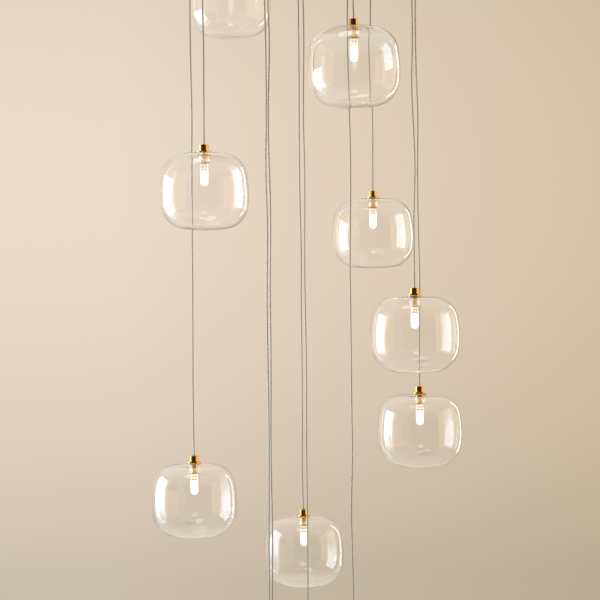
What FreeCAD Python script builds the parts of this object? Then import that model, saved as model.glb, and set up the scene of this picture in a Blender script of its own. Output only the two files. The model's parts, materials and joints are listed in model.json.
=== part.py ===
import FreeCAD, Part
import math
import os
import Sketcher

# Cluster pendant: twelve clear blown-glass shades, each hung on its own cord from one round
# ceiling canopy.  Millimetres, +Z up.  The origin is the centre of the canopy's ceiling face,
# and -Y is the side that the light is seen from.

os.makedirs("parts", exist_ok=True)
doc = FreeCAD.newDocument("cluster_pendant")

# ----------------------------------------------------------------------------------------
# Driving sizes
# ----------------------------------------------------------------------------------------
SIZES = {
    # canopy cover and the plate that carries it
    "canopy_radius": 250.0,
    "canopy_height": 50.0,
    "canopy_wall": 1.2,
    "canopy_edge": 8.0,
    "rim_gap": 0.5,
    "plate_margin": 2.8,
    "plate_thickness": 2.0,
    "fixing_circle": 190.0,
    "fixing_hole": 3.0,
    "mains_out": 118.0,
    "mains_hole": 10.0,
    "tab_width": 18.0,
    "tab_depth": 20.0,
    "tab_thickness": 2.0,
    "tab_inset": 1.0,
    # side screws that hold the cover on the plate's tabs
    "screw_level": 12.0,
    "screw_radius": 2.0,
    "screw_length": 9.0,
    "screw_head": 3.8,
    "screw_head_depth": 2.4,
    "screw_clearance": 0.2,
    # circles on which the cords leave the canopy
    "ring_outer": 202.5,
    "ring_inner": 82.5,
    "ring_turn": -27.5,
    # cord grips
    "grip_thread": 4.9,
    "grip_rise": 8.0,
    "grip_flange": 7.5,
    "grip_flange_depth": 3.0,
    "grip_nose": 12.0,
    "grip_nose_root": 6.0,
    "grip_nose_end": 3.6,
    "grip_clearance": 0.15,
    "nut_radius": 8.5,
    "nut_depth": 4.0,
    # cords and the flared sockets that they move in
    "cord_radius": 1.4,
    "cord_clearance": 0.15,
    "socket_depth": 3.0,
    "socket_floor": 1.9,
    "socket_mouth": 2.7,
    "cord_end_gap": 0.6,
    # cap, collar and lampholder of one pendant
    "cap_radius": 8.0,
    "cap_height": 10.5,
    "cap_wall": 1.6,
    "cap_crown": 5.0,
    "cap_edge": 0.6,
    "cap_screw": 1.5,
    "cap_screw_level": 3.0,
    "cap_screw_length": 3.2,
    "cap_screw_recess": 0.2,
    "collar_radius": 12.0,
    "collar_depth": 2.2,
    "collar_edge": 0.5,
    "gasket_radius": 12.4,
    "gasket_depth": 1.0,
    "sleeve_radius": 4.0,
    "sleeve_wall": 0.6,
    "sleeve_flange": 6.1,
    "sleeve_flange_depth": 1.2,
    "sleeve_heel": 5.6,
    "sleeve_heel_depth": 3.2,
    "sleeve_ledge": 1.8,
    "sleeve_ledge_depth": 1.0,
    "insert_length": 12.0,
    "insert_head": 4.4,
    "insert_head_depth": 1.6,
    "fit_clearance": 0.1,
    # glass shade
    "shade_radius": 75.0,
    "shade_height": 129.0,
    "shade_wall": 2.0,
    "shade_widest": 61.0,
    "crown_radius": 350.0,
    "base_radius": 320.0,
    "high_side_radius": 175.0,
    "low_side_radius": 195.0,
    "high_corner": 38.0,
    "low_corner": 44.0,
    "neck_bore": 7.0,
    "neck_length": 16.0,
    "neck_fillet": 2.6,
    # capsule lamp
    "lamp_radius": 6.6,
    "lamp_length": 37.0,
    "lamp_wall": 0.9,
    "lamp_base_radius": 6.0,
    "lamp_base": 8.5,
    "lamp_gap": 0.3,
    "lamp_core": 2.6,
    "lamp_core_length": 17.0,
    "pin_radius": 0.35,
    "pin_length": 5.0,
    "pin_spread": 2.0,
    # driver, terminals and leads inside the canopy
    "driver_length": 150.0,
    "driver_width": 50.0,
    "driver_height": 20.0,
    "driver_out": 96.0,
    "ear_length": 12.0,
    "ear_thickness": 1.6,
    "ear_screw": 1.6,
    "ear_screw_head": 3.0,
    "ear_screw_head_depth": 1.8,
    "puck_radius": 42.0,
    "puck_height": 33.0,
    "port_depth": 9.0,
    "port_clearance": 0.3,
    "terminal_length": 30.0,
    "terminal_width": 18.0,
    "terminal_height": 14.0,
    "terminal_side": 40.0,
    "terminal_hole": 2.2,
    "lead_level": 29.0,
    "lead_bend": 8.0,
    "feed_level": 12.0,
    "feed_spread": 6.0,
    "feed_end_gap": 0.1,
    # from the ceiling down to the top of each cap, longest cord last
    "fall_01": 190.0,
    "fall_02": 363.0,
    "fall_03": 556.0,
    "fall_04": 616.0,
    "fall_05": 797.0,
    "fall_06": 970.0,
    "fall_07": 1088.0,
    "fall_08": 1208.0,
    "fall_09": 1315.0,
    "fall_10": 1360.0,
    "fall_11": 1475.0,
    "fall_12": 1590.0,
}

# Which exit each cord has: the outer circle has nine, counted from ring_turn against the
# clock, and the inner circle has three, each in line with every third outer one.
OUTER_EXITS = 9
INNER_EXITS = 3
EXITS = {
    1: ("outer", 4),
    2: ("outer", 8),
    3: ("outer", 6),
    4: ("outer", 2),
    5: ("outer", 0),
    6: ("outer", 1),
    7: ("outer", 5),
    8: ("outer", 3),
    9: ("outer", 7),
    10: ("inner", 0),
    11: ("inner", 2),
    12: ("inner", 1),
}

# The share of a run that the arc at each of its ends may take.
ARC_SHARE = 0.45

# How each cord wanders between its two ends, which are plumb over each other: the share of
# its length so far, and how far it then stands off the plumb line to +X and to +Y.
WANDER = {
    1: [(0.50, 0.5, -0.4)],
    2: [(0.30, -0.8, 0.6), (0.62, -1.8, -0.5), (0.84, -1.5, 0.4)],
    3: [(0.25, 0.6, -0.5), (0.53, -0.9, 0.8), (0.68, 0.7, 0.3), (0.85, 0.1, -0.6)],
    4: [(0.18, -0.8, 0.5), (0.37, -1.5, -0.6), (0.51, -3.4, 0.4), (0.65, -0.8, 0.9),
        (0.80, 0.9, -0.4), (0.90, 0.2, 0.3)],
    5: [(0.15, -0.5, 0.4), (0.33, -1.4, -0.6), (0.42, 0.1, 0.3), (0.54, -3.0, 0.8),
        (0.64, 0.6, -0.5), (0.73, 2.8, -0.2), (0.83, -0.4, 0.6), (0.92, -0.3, -0.4)],
    6: [(0.12, -1.0, 0.5), (0.30, -3.2, -0.6), (0.39, -2.0, 0.4), (0.47, 1.0, 0.7),
        (0.57, -1.2, -0.5), (0.69, -0.4, 0.3), (0.79, 2.2, -0.4), (0.90, 0.4, 0.5)],
    7: [(0.12, -0.6, 0.6), (0.28, -2.0, -0.4), (0.37, -0.2, 0.5), (0.44, 0.7, 0.3),
        (0.51, -1.6, -0.6), (0.64, -0.4, 0.4), (0.78, -0.6, -0.5), (0.90, -1.6, 0.3)],
    8: [(0.08, -1.6, 0.4), (0.17, -3.0, -0.5), (0.26, -2.2, 0.6), (0.42, -3.3, -0.4),
        (0.50, -2.6, 0.5), (0.58, -0.5, 0.2), (0.65, -2.0, -0.6), (0.76, -0.8, 0.4),
        (0.86, -1.3, -0.3), (0.95, -2.5, 0.5)],
    9: [(0.10, -0.6, 0.5), (0.21, -0.9, -0.5), (0.27, 2.7, 0.6), (0.33, -0.3, 0.3),
        (0.39, -1.3, -0.4), (0.49, 2.5, 0.7), (0.58, -0.2, -0.6), (0.67, 1.1, 0.4),
        (0.80, -0.9, -0.3), (0.90, 1.5, 0.5), (0.96, 0.1, -0.3)],
    10: [(0.08, 0.5, -0.4), (0.16, 0.3, 0.5), (0.24, -2.2, 0.4), (0.31, 0.6, -0.6),
         (0.41, 3.3, 0.3), (0.53, -0.1, 0.6), (0.63, 1.2, -0.5), (0.71, 1.1, 0.3),
         (0.79, 2.6, -0.4), (0.85, -0.8, 0.5), (0.92, 0.9, 0.2), (0.965, 2.6, -0.4)],
    11: [(0.08, 0.4, 0.5), (0.16, -0.5, -0.4), (0.23, 1.9, 0.5), (0.32, 1.7, -0.6),
         (0.38, -0.7, 0.3), (0.44, 2.9, 0.6), (0.55, -0.1, -0.5), (0.63, 1.9, 0.4),
         (0.72, 2.5, -0.3), (0.80, 0.9, 0.5), (0.90, 0.6, -0.4)],
    12: [(0.06, -0.4, 0.4), (0.13, 0.2, -0.5), (0.19, 1.6, 0.3), (0.28, -1.2, 0.5),
         (0.35, 1.6, -0.4), (0.45, -0.9, 0.6), (0.52, 0.7, -0.3), (0.59, 1.8, 0.4),
         (0.65, 0.3, -0.5), (0.75, 1.6, 0.4), (0.88, 1.0, -0.5)],
}


# ----------------------------------------------------------------------------------------
# Places worked out from the sizes
# ----------------------------------------------------------------------------------------
def arc_between(inner, outer, radius):
    """Centre of the arc that joins two circles (x, y, radius) from inside, on their right."""
    span = math.dist(inner[:2], outer[:2])
    reach_a = inner[2] - radius
    reach_b = outer[2] - radius
    along = (reach_a**2 - reach_b**2 + span**2) / (2 * span)
    aside = math.sqrt(reach_a**2 - along**2)
    ux = (outer[0] - inner[0]) / span
    uy = (outer[1] - inner[1]) / span
    choices = [
        (inner[0] + ux * along + side * uy * aside, inner[1] + uy * along - side * ux * aside)
        for side in (1, -1)
    ]
    return max(choices)


def touch(circle, centre, radius):
    """Where an arc inside a circle touches it."""
    length = math.dist(circle[:2], centre)
    return (
        circle[0] + (centre[0] - circle[0]) / length * radius,
        circle[1] + (centre[1] - circle[1]) / length * radius,
    )


def shade_centres(size):
    """Centres of the arcs of the shade's outline, in the pendant's own frame."""
    crown = (0.0, size["shade_height"] - size["crown_radius"], size["crown_radius"])
    base = (0.0, size["base_radius"], size["base_radius"])
    high = (size["shade_radius"] - size["high_side_radius"], size["shade_widest"], size["high_side_radius"])
    low = (size["shade_radius"] - size["low_side_radius"], size["shade_widest"], size["low_side_radius"])
    lip_x = size["neck_bore"] + size["shade_wall"] + size["neck_fillet"]
    lip_reach = size["crown_radius"] - size["shade_wall"] - size["neck_fillet"]
    lip_y = crown[1] + math.sqrt(lip_reach**2 - lip_x**2)
    return {
        "crown": crown,
        "base": base,
        "high_side": high,
        "low_side": low,
        "high_corner": arc_between(crown, high, size["high_corner"]),
        "low_corner": arc_between(base, low, size["low_corner"]),
        "lip": (lip_x, lip_y),
    }


def shade_points(size, centres, wall, side):
    """Corners of one side of the glass wall; wall is how far it lies inside the outer face."""
    crown, base = centres["crown"], centres["base"]
    points = {
        "lip": touch(crown, centres["lip"], crown[2] - wall),
        "crown": touch(crown, centres["high_corner"], crown[2] - wall),
        "high": touch(centres["high_side"], centres["high_corner"], centres["high_side"][2] - wall),
        "widest": (size["shade_radius"] - wall, size["shade_widest"]),
        "low": touch(centres["low_side"], centres["low_corner"], centres["low_side"][2] - wall),
        "base": touch(base, centres["low_corner"], base[2] - wall),
    }
    return {f"{side}_{name}_{axis}": p[i] for name, p in points.items() for i, axis in enumerate("xy")}


def places(size):
    """Every level, radius and position that follows from the driving sizes."""
    place = {}
    # canopy frame: up from the underside of the cover
    place["cover_inner"] = size["canopy_radius"] - size["canopy_wall"]
    place["cover_edge_start"] = size["canopy_radius"] - size["canopy_edge"]
    place["edge_inner"] = size["canopy_edge"] - size["canopy_wall"]
    place["rim_top"] = size["canopy_height"] - size["rim_gap"]
    place["plate_radius"] = place["cover_inner"] - size["plate_margin"]
    place["plate_bottom"] = size["canopy_height"] - size["plate_thickness"]
    place["screw_height"] = size["canopy_height"] - size["screw_level"]
    place["screw_tap"] = size["screw_radius"] + size["fit_clearance"]
    place["screw_hole"] = size["screw_radius"] + size["screw_clearance"]
    place["tab_start"] = place["plate_radius"] - size["tab_inset"] - size["tab_thickness"]
    place["exit_hole"] = size["grip_thread"] + size["grip_clearance"]
    place["lead_height"] = size["canopy_height"] - size["lead_level"]
    place["feed_height"] = size["canopy_height"] - size["feed_level"]
    place["ear_x"] = size["driver_length"] / 2 + size["ear_length"] / 2
    place["ear_left"] = -place["ear_x"]
    place["ear_right"] = place["ear_x"]
    place["ear_row"] = -size["driver_out"]
    place["ear_tap"] = size["ear_screw"] + size["fit_clearance"]
    place["screw_top"] = size["screw_length"] + size["screw_head_depth"]
    # grip frame: up from the end of its nose
    place["grip_seat"] = size["grip_nose"] + size["grip_flange_depth"]
    place["grip_top"] = place["grip_seat"] + size["grip_rise"]
    place["nut_foot"] = place["grip_seat"] + size["canopy_wall"]
    place["grip_bore"] = size["cord_radius"] + size["cord_clearance"]
    # pendant frame: up from the bottom of the shade
    centres = shade_centres(size)
    place.update(shade_points(size, centres, 0.0, "outer"))
    place.update(shade_points(size, centres, size["shade_wall"], "inner"))
    place["neck_outer"] = size["neck_bore"] + size["shade_wall"]
    place["lip_radius"] = size["neck_fillet"] + size["shade_wall"]
    place["lip_level"] = centres["lip"][1]
    place["lip_top"] = centres["lip"][1] + place["lip_radius"]
    place["neck_end"] = place["lip_top"] - size["neck_length"]
    place["crown_inner"] = size["crown_radius"] - size["shade_wall"]
    place["high_corner_inner"] = size["high_corner"] - size["shade_wall"]
    place["high_side_inner"] = size["high_side_radius"] - size["shade_wall"]
    place["low_side_inner"] = size["low_side_radius"] - size["shade_wall"]
    place["low_corner_inner"] = size["low_corner"] - size["shade_wall"]
    place["base_inner"] = size["base_radius"] - size["shade_wall"]
    place["gasket_foot"] = place["lip_top"] + size["fit_clearance"]
    place["collar_foot"] = place["gasket_foot"] + size["gasket_depth"]
    place["collar_low"] = place["collar_foot"] + size["collar_edge"]
    place["cap_foot"] = place["collar_foot"] + size["collar_depth"]
    place["collar_high"] = place["cap_foot"] - size["collar_edge"]
    place["collar_flat"] = size["collar_radius"] - size["collar_edge"]
    place["collar_bore"] = size["sleeve_radius"] + size["fit_clearance"]
    place["cap_top"] = place["cap_foot"] + size["cap_height"]
    place["cap_shoulder"] = place["cap_top"] - size["cap_edge"]
    place["cap_flat"] = size["cap_radius"] - size["cap_edge"]
    place["cap_socket"] = place["cap_top"] - size["socket_depth"]
    place["cap_roof"] = place["cap_top"] - size["cap_crown"]
    place["cap_inner"] = size["cap_radius"] - size["cap_wall"]
    place["cap_tap"] = size["cap_screw"] + size["fit_clearance"]
    place["cap_screw_z"] = place["cap_foot"] + size["cap_screw_level"]
    place["gasket_shank"] = size["neck_bore"] - size["fit_clearance"]
    place["heel_top"] = place["neck_end"] + size["sleeve_heel_depth"]
    place["sleeve_top"] = place["cap_foot"] + size["sleeve_flange_depth"]
    place["sleeve_inner"] = size["sleeve_radius"] - size["sleeve_wall"]
    place["insert_radius"] = place["sleeve_inner"] - size["fit_clearance"]
    place["insert_foot"] = place["neck_end"] - size["insert_head_depth"]
    place["insert_top"] = place["neck_end"] + size["insert_length"]
    place["ledge_foot"] = place["insert_top"] + size["fit_clearance"]
    place["ledge_top"] = place["ledge_foot"] + size["sleeve_ledge_depth"]
    place["lamp_top"] = place["insert_foot"] - size["lamp_gap"]
    place["lamp_shoulder"] = place["lamp_top"] - size["lamp_base"]
    place["lamp_neck"] = place["lamp_shoulder"] + size["lamp_radius"] - size["lamp_base_radius"]
    place["lamp_tip"] = place["lamp_top"] - size["lamp_length"]
    place["lamp_round"] = place["lamp_tip"] + size["lamp_radius"]
    place["lamp_inner"] = size["lamp_radius"] - size["lamp_wall"]
    place["lamp_inner_tip"] = place["lamp_tip"] + size["lamp_wall"]
    place["core_foot"] = place["lamp_shoulder"] - size["lamp_core_length"]
    # row frame: where each cord leaves the canopy and where it meets its cap
    place["grip_level"] = -size["canopy_height"] - place["grip_seat"]
    place["cord_start"] = place["grip_level"] + size["socket_depth"] - size["cord_end_gap"]
    for number, (circle, count) in EXITS.items():
        step = 360 / (OUTER_EXITS if circle == "outer" else INNER_EXITS)
        turn = math.radians(size["ring_turn"] + step * count)
        reach = size["ring_" + circle]
        place[f"exit_{number:02}_x"] = reach * math.cos(turn)
        place[f"exit_{number:02}_y"] = reach * math.sin(turn)
        fall = size[f"fall_{number:02}"]
        place[f"cord_{number:02}_foot"] = -fall - size["socket_depth"] + size["cord_end_gap"]
        place[f"pendant_{number:02}_z"] = -fall - place["cap_top"]
    return place


PLACES = places(SIZES)
CENTRES = shade_centres(SIZES)


def fill_sheet(name, values):
    """A spreadsheet with one named cell for each value."""
    sheet = doc.addObject("Spreadsheet::Sheet", name)
    for row, (alias, value) in enumerate(values.items(), start=1):
        sheet.set(f"A{row}", alias)
        sheet.set(f"B{row}", repr(float(value)))
        sheet.setAlias(f"B{row}", alias)
    return sheet


fill_sheet("Sizes", SIZES)
fill_sheet("Places", PLACES)
doc.recompute()


def number(name):
    return SIZES[name] if name in SIZES else PLACES[name]


def cell(name):
    return f"Sizes.{name}" if name in SIZES else f"Places.{name}"


# ----------------------------------------------------------------------------------------
# Ways of making a piece
# ----------------------------------------------------------------------------------------
def plane_sketch(body, role, name):
    """A sketch on one of the body's own origin planes."""
    sketch = body.newObject("Sketcher::SketchObject", name)
    plane = [f for f in body.Origin.OriginFeatures if f.Role == role][0]
    sketch.AttachmentSupport = (plane, "")
    sketch.MapMode = "FlatFace"
    return sketch


def bind(sketch, kind, geometry, position, name):
    """Hold one coordinate or radius of the sketch to a named cell."""
    if kind == "Radius":
        index = sketch.addConstraint(Sketcher.Constraint(kind, geometry, number(name)))
    else:
        index = sketch.addConstraint(
            Sketcher.Constraint(kind, -1, 1, geometry, position, number(name))
        )
    sketch.setExpression(f"Constraints[{index}]", cell(name))


def hold_point(sketch, geometry, position, across, up):
    """Place a point by the names of its two coordinates; None is a coordinate of nothing."""
    if across is None and up is None:
        sketch.addConstraint(Sketcher.Constraint("Coincident", geometry, position, -1, 1))
        return
    if across is None:
        sketch.addConstraint(Sketcher.Constraint("PointOnObject", geometry, position, -2))
    else:
        bind(sketch, "DistanceX", geometry, position, across)
    if up is None:
        sketch.addConstraint(Sketcher.Constraint("PointOnObject", geometry, position, -1))
    else:
        bind(sketch, "DistanceY", geometry, position, up)


def draw_outline(sketch, corners, arcs):
    """A closed outline through named corners.

    arcs gives, for the edge that leaves a corner, its radius by name, its centre and whether
    it turns against the clock; every other edge is straight.
    """
    where = [
        FreeCAD.Vector(number(a) if a else 0.0, number(b) if b else 0.0, 0.0)
        for a, b in corners
    ]
    ends = []
    for i, here in enumerate(where):
        there = where[(i + 1) % len(where)]
        if i not in arcs:
            index = sketch.addGeometry(Part.LineSegment(here, there))
            ends.append((index, 1, 2))
            continue
        radius, centre, against_clock = arcs[i]
        middle = FreeCAD.Vector(centre[0], centre[1], 0.0)
        start, stop = (here, there) if against_clock else (there, here)
        angles = [math.atan2(p.y - middle.y, p.x - middle.x) for p in (start, stop)]
        circle = Part.Circle(middle, FreeCAD.Vector(0, 0, 1), number(radius))
        index = sketch.addGeometry(Part.ArcOfCircle(circle, angles[0], angles[1]))
        ends.append((index, 1, 2) if against_clock else (index, 2, 1))
    for i, (index, first, last) in enumerate(ends):
        following = ends[(i + 1) % len(ends)]
        sketch.addConstraint(Sketcher.Constraint("Coincident", index, last, following[0], following[1]))
        hold_point(sketch, index, first, *corners[i])
        if i in arcs:
            bind(sketch, "Radius", index, 0, arcs[i][0])


def turned(label, corners, arcs=None):
    """A piece turned about the Z axis from its outline: corners are (radius, level)."""
    body = doc.addObject("PartDesign::Body", label)
    sketch = plane_sketch(body, "XZ_Plane", label + "_outline")
    draw_outline(sketch, corners, arcs or {})
    doc.recompute()
    feature = body.newObject("PartDesign::Revolution", label + "_turned")
    feature.Profile = sketch
    feature.ReferenceAxis = (sketch, ["V_Axis"])
    feature.Angle = 360
    doc.recompute()
    return body


def drill(body, label, role, across, up, radius, reverse=False):
    """A round hole straight through, from one of the body's planes outwards."""
    sketch = plane_sketch(body, role, label + "_sketch")
    circle = Part.Circle(
        FreeCAD.Vector(number(across) if across else 0.0, number(up) if up else 0.0, 0.0),
        FreeCAD.Vector(0, 0, 1),
        number(radius),
    )
    index = sketch.addGeometry(circle)
    hold_point(sketch, index, 3, across, up)
    bind(sketch, "Radius", index, 0, radius)
    doc.recompute()
    before = body.Shape.Volume
    pocket = body.newObject("PartDesign::Pocket", label)
    pocket.Profile = sketch
    pocket.Type = "ThroughAll"
    pocket.Reversed = reverse
    doc.recompute()
    assert body.Shape.Volume < before, label + " cuts nothing"
    return pocket


def spread(body, label, features, count):
    """Repeat features evenly round the Z axis."""
    pattern = body.newObject("PartDesign::PolarPattern", label)
    pattern.Originals = features
    pattern.Axis = ([f for f in body.Origin.OriginFeatures if f.Role == "Z_Axis"][0], [""])
    pattern.Angle = 360
    pattern.Occurrences = count
    body.Tip = pattern
    doc.recompute()
    return pattern


def primitive(kind, label, **lengths):
    """A Part primitive whose sizes are formulas on the named cells."""
    piece = doc.addObject(kind, label)
    for name, formula in lengths.items():
        piece.setExpression(name, formula)
    return piece


def shift(piece, x=None, y=None, z=None):
    """Place a piece by formulas for its three coordinates."""
    for axis, formula in (("x", x), ("y", y), ("z", z)):
        if formula is not None:
            piece.setExpression(f"Placement.Base.{axis}", formula)


def group(label, members):
    """Several pieces as one sub-part of separate solids."""
    compound = doc.addObject("Part::Compound", label)
    compound.Links = members
    return compound


def copy_at(master, label, x, y, z, turn=0.0):
    """A copy of a piece, placed by formulas and turned about Z."""
    copy = group(label, [master])
    copy.Placement.Rotation = FreeCAD.Rotation(FreeCAD.Vector(0, 0, 1), turn)
    shift(copy, x, y, z)
    return copy


def hang_in_canopy(piece):
    """Move a piece from the canopy's own frame, with its turn, to the row frame."""
    piece.setExpression("Placement.Rotation.Angle", "Sizes.ring_turn * 1 deg")
    shift(piece, z="-Sizes.canopy_height")
    return piece


def rounded_path(points, bend):
    """Straight runs joined by tangent arcs; bend gives each arc's radius at a corner."""
    edges = []
    radii = []
    start = points[0]
    for i in range(1, len(points) - 1):
        here = points[i]
        back = (points[i - 1] - here).normalize()
        ahead = (points[i + 1] - here).normalize()
        half_turn = (math.pi - back.getAngle(ahead)) / 2
        shorter = min(here.distanceToPoint(points[i - 1]), here.distanceToPoint(points[i + 1]))
        radius = bend(shorter, half_turn)
        cut = radius * math.tan(half_turn)
        first = here + back * cut
        last = here + ahead * cut
        towards = (back + ahead).normalize()
        middle = here + towards * (radius / math.cos(half_turn) - radius)
        edges.append(Part.LineSegment(start, first).toShape())
        edges.append(Part.Arc(first, middle, last).toShape())
        radii.append(radius)
        start = last
    edges.append(Part.LineSegment(start, points[-1]).toShape())
    return Part.Wire(edges), radii


def tube(points, radius, bend):
    """A round solid along a path, with the tightest arc's radius."""
    path, radii = rounded_path(points, bend)
    ring = Part.Circle(points[0], points[1] - points[0], radius)
    solid = path.makePipe(Part.Face(Part.Wire(ring.toShape())))
    if solid.ShapeType != "Solid":
        solid = solid.Solids[0]
    share = solid.Volume / (math.pi * radius**2 * path.Length)
    assert abs(share - 1) < 0.01, "a tube has lost its section"
    return solid, path.Length, min(radii, default=0.0)


def feature_of(label, shape):
    """A sub-part whose shape is made from the named sizes directly."""
    piece = doc.addObject("Part::Feature", label)
    piece.Shape = shape
    return piece


nodes = {}

# ----------------------------------------------------------------------------------------
# Canopy: a spun cover screwed to the tabs of a plate that is fixed to the ceiling
# ----------------------------------------------------------------------------------------
cover = turned(
    "canopy_cover",
    [
        (None, None),
        ("cover_edge_start", None),
        ("canopy_radius", "canopy_edge"),
        ("canopy_radius", "rim_top"),
        ("cover_inner", "rim_top"),
        ("cover_inner", "canopy_edge"),
        ("cover_edge_start", "canopy_wall"),
        (None, "canopy_wall"),
    ],
    {
        1: ("canopy_edge", (number("cover_edge_start"), number("canopy_edge")), True),
        5: ("edge_inner", (number("cover_edge_start"), number("canopy_edge")), False),
    },
)
outer_hole = drill(cover, "outer_exit", "XY_Plane", "ring_outer", None, "exit_hole", True)
spread(cover, "outer_exits", [outer_hole], OUTER_EXITS)
inner_hole = drill(cover, "inner_exit", "XY_Plane", "ring_inner", None, "exit_hole", True)
spread(cover, "inner_exits", [inner_hole], INNER_EXITS)
SIDE_SCREWS = 3
side_hole = drill(cover, "side_hole", "YZ_Plane", None, "screw_height", "screw_hole", True)
spread(cover, "side_holes", [side_hole], SIDE_SCREWS)
nodes["canopy_cover"] = hang_in_canopy(cover)

plate = turned(
    "ceiling_plate",
    [
        (None, "plate_bottom"),
        ("plate_radius", "plate_bottom"),
        ("plate_radius", "canopy_height"),
        (None, "canopy_height"),
    ],
)
tab = plate.newObject("PartDesign::AdditiveBox", "tab")
tab.setExpression("Length", "Sizes.tab_thickness")
tab.setExpression("Width", "Sizes.tab_width")
tab.setExpression("Height", "Sizes.tab_depth")
tab.setExpression("AttachmentOffset.Base.x", "Places.tab_start")
tab.setExpression("AttachmentOffset.Base.y", "-Sizes.tab_width / 2")
tab.setExpression("AttachmentOffset.Base.z", "Sizes.canopy_height - Sizes.tab_depth")
tab.AttachmentSupport = ([f for f in plate.Origin.OriginFeatures if f.Role == "XY_Plane"][0], "")
tab.MapMode = "FlatFace"
doc.recompute()
tab_hole = drill(plate, "tab_hole", "YZ_Plane", None, "screw_height", "screw_tap", True)
spread(plate, "tabs", [tab, tab_hole], SIDE_SCREWS)
FIXINGS = 4
fixing = drill(plate, "fixing_hole_cut", "XY_Plane", "fixing_circle", None, "fixing_hole", True)
spread(plate, "fixing_holes", [fixing], FIXINGS)
drill(plate, "mains_entry", "XY_Plane", "mains_out", None, "mains_hole", True)
for side in ("left", "right"):
    drill(plate, f"driver_tap_{side}", "XY_Plane", f"ear_{side}", "ear_row", "ear_tap", True)
nodes["ceiling_plate"] = hang_in_canopy(plate)

# Side screws, driven inwards through the rim into the tabs.
screw = turned(
    "side_screw",
    [
        (None, None),
        ("screw_radius", None),
        ("screw_radius", "screw_length"),
        ("screw_head", "screw_length"),
        ("screw_head", "screw_top"),
        (None, "screw_top"),
    ],
)
screws = []
for count in range(SIDE_SCREWS):
    copy = group(f"side_screw_{count + 1}", [screw])
    turn = 360 / SIDE_SCREWS * count
    outward = FreeCAD.Rotation(FreeCAD.Vector(0, 1, 0), 90)
    copy.Placement.Rotation = FreeCAD.Rotation(FreeCAD.Vector(0, 0, 1), turn) * outward
    reach = "(Sizes.canopy_radius - Sizes.screw_length)"
    shift(copy, f"{reach} * cos({turn} deg)", f"{reach} * sin({turn} deg)", "Places.screw_height")
    screws.append(copy)
nodes["side_screws"] = hang_in_canopy(group("side_screws", screws))

# ----------------------------------------------------------------------------------------
# Cord grips: turned brass, one through the cover for each cord, with a nut inside
# ----------------------------------------------------------------------------------------
grip = turned(
    "cord_grip",
    [
        ("socket_mouth", None),
        ("grip_nose_end", None),
        ("grip_nose_root", "grip_nose"),
        ("grip_flange", "grip_nose"),
        ("grip_flange", "grip_seat"),
        ("grip_thread", "grip_seat"),
        ("grip_thread", "grip_top"),
        ("grip_bore", "grip_top"),
        ("grip_bore", "socket_depth"),
        ("socket_floor", "socket_depth"),
    ],
)
nut_blank = primitive(
    "Part::Prism", "nut_blank", Circumradius="Sizes.nut_radius", Height="Sizes.nut_depth"
)
nut_blank.Polygon = 6
nut_bore = primitive(
    "Part::Cylinder", "nut_bore", Radius="Places.exit_hole", Height="Sizes.nut_depth"
)
nut = doc.addObject("Part::Cut", "grip_nut")
nut.Base = nut_blank
nut.Tool = nut_bore
grips = []
nuts = []
for drop in EXITS:
    across = f"Places.exit_{drop:02}_x"
    along = f"Places.exit_{drop:02}_y"
    grips.append(copy_at(grip, f"grip_{drop:02}", across, along, "Places.grip_level"))
    nut_foot = "Places.grip_level + Places.nut_foot"
    nuts.append(copy_at(nut, f"nut_{drop:02}", across, along, nut_foot))
nodes["cord_grips"] = group("cord_grips", grips)
nodes["grip_nuts"] = group("grip_nuts", nuts)

# ----------------------------------------------------------------------------------------
# Electrics inside the canopy: driver, mains terminals, distribution puck and leads
# ----------------------------------------------------------------------------------------
driver_case = primitive(
    "Part::Box",
    "driver_case",
    Length="Sizes.driver_length",
    Width="Sizes.driver_width",
    Height="Sizes.driver_height",
)
shift(
    driver_case,
    "-Sizes.driver_length / 2",
    "-Sizes.driver_out - Sizes.driver_width / 2",
    "Places.plate_bottom - Sizes.driver_height",
)
driver_ears = primitive(
    "Part::Box",
    "driver_ears",
    Length="Sizes.driver_length + 2 * Sizes.ear_length",
    Width="Sizes.driver_width / 2",
    Height="Sizes.ear_thickness",
)
shift(
    driver_ears,
    "-Sizes.driver_length / 2 - Sizes.ear_length",
    "-Sizes.driver_out - Sizes.driver_width / 4",
    "Places.plate_bottom - Sizes.ear_thickness",
)
driver_blank = doc.addObject("Part::MultiFuse", "driver_blank")
driver_blank.Shapes = [driver_case, driver_ears]
ear_holes = []
ear_screws = []
for side in ("left", "right"):
    ear = f"Places.ear_{side}"
    hole = primitive(
        "Part::Cylinder", f"ear_hole_{side}", Radius="Places.ear_tap", Height="Sizes.driver_height"
    )
    shift(
        hole,
        ear,
        "Places.ear_row",
        "Places.plate_bottom - Sizes.driver_height / 2",
    )
    ear_holes.append(hole)
    shank = primitive(
        "Part::Cylinder",
        f"ear_shank_{side}",
        Radius="Sizes.ear_screw",
        Height="Sizes.ear_thickness + Sizes.plate_thickness",
    )
    shift(
        shank,
        ear,
        "Places.ear_row",
        "Places.plate_bottom - Sizes.ear_thickness",
    )
    head = primitive(
        "Part::Cylinder",
        f"ear_head_{side}",
        Radius="Sizes.ear_screw_head",
        Height="Sizes.ear_screw_head_depth",
    )
    shift(
        head,
        ear,
        "Places.ear_row",
        "Places.plate_bottom - Sizes.ear_thickness - Sizes.ear_screw_head_depth",
    )
    ear_screw = doc.addObject("Part::MultiFuse", f"ear_screw_{side}")
    ear_screw.Shapes = [shank, head]
    ear_screws.append(ear_screw)
both_holes = group("ear_holes", ear_holes)
driver = doc.addObject("Part::Cut", "led_driver")
driver.Base = driver_blank
driver.Tool = both_holes
nodes["led_driver"] = hang_in_canopy(driver)
nodes["driver_screws"] = hang_in_canopy(group("driver_screws", ear_screws))

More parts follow.
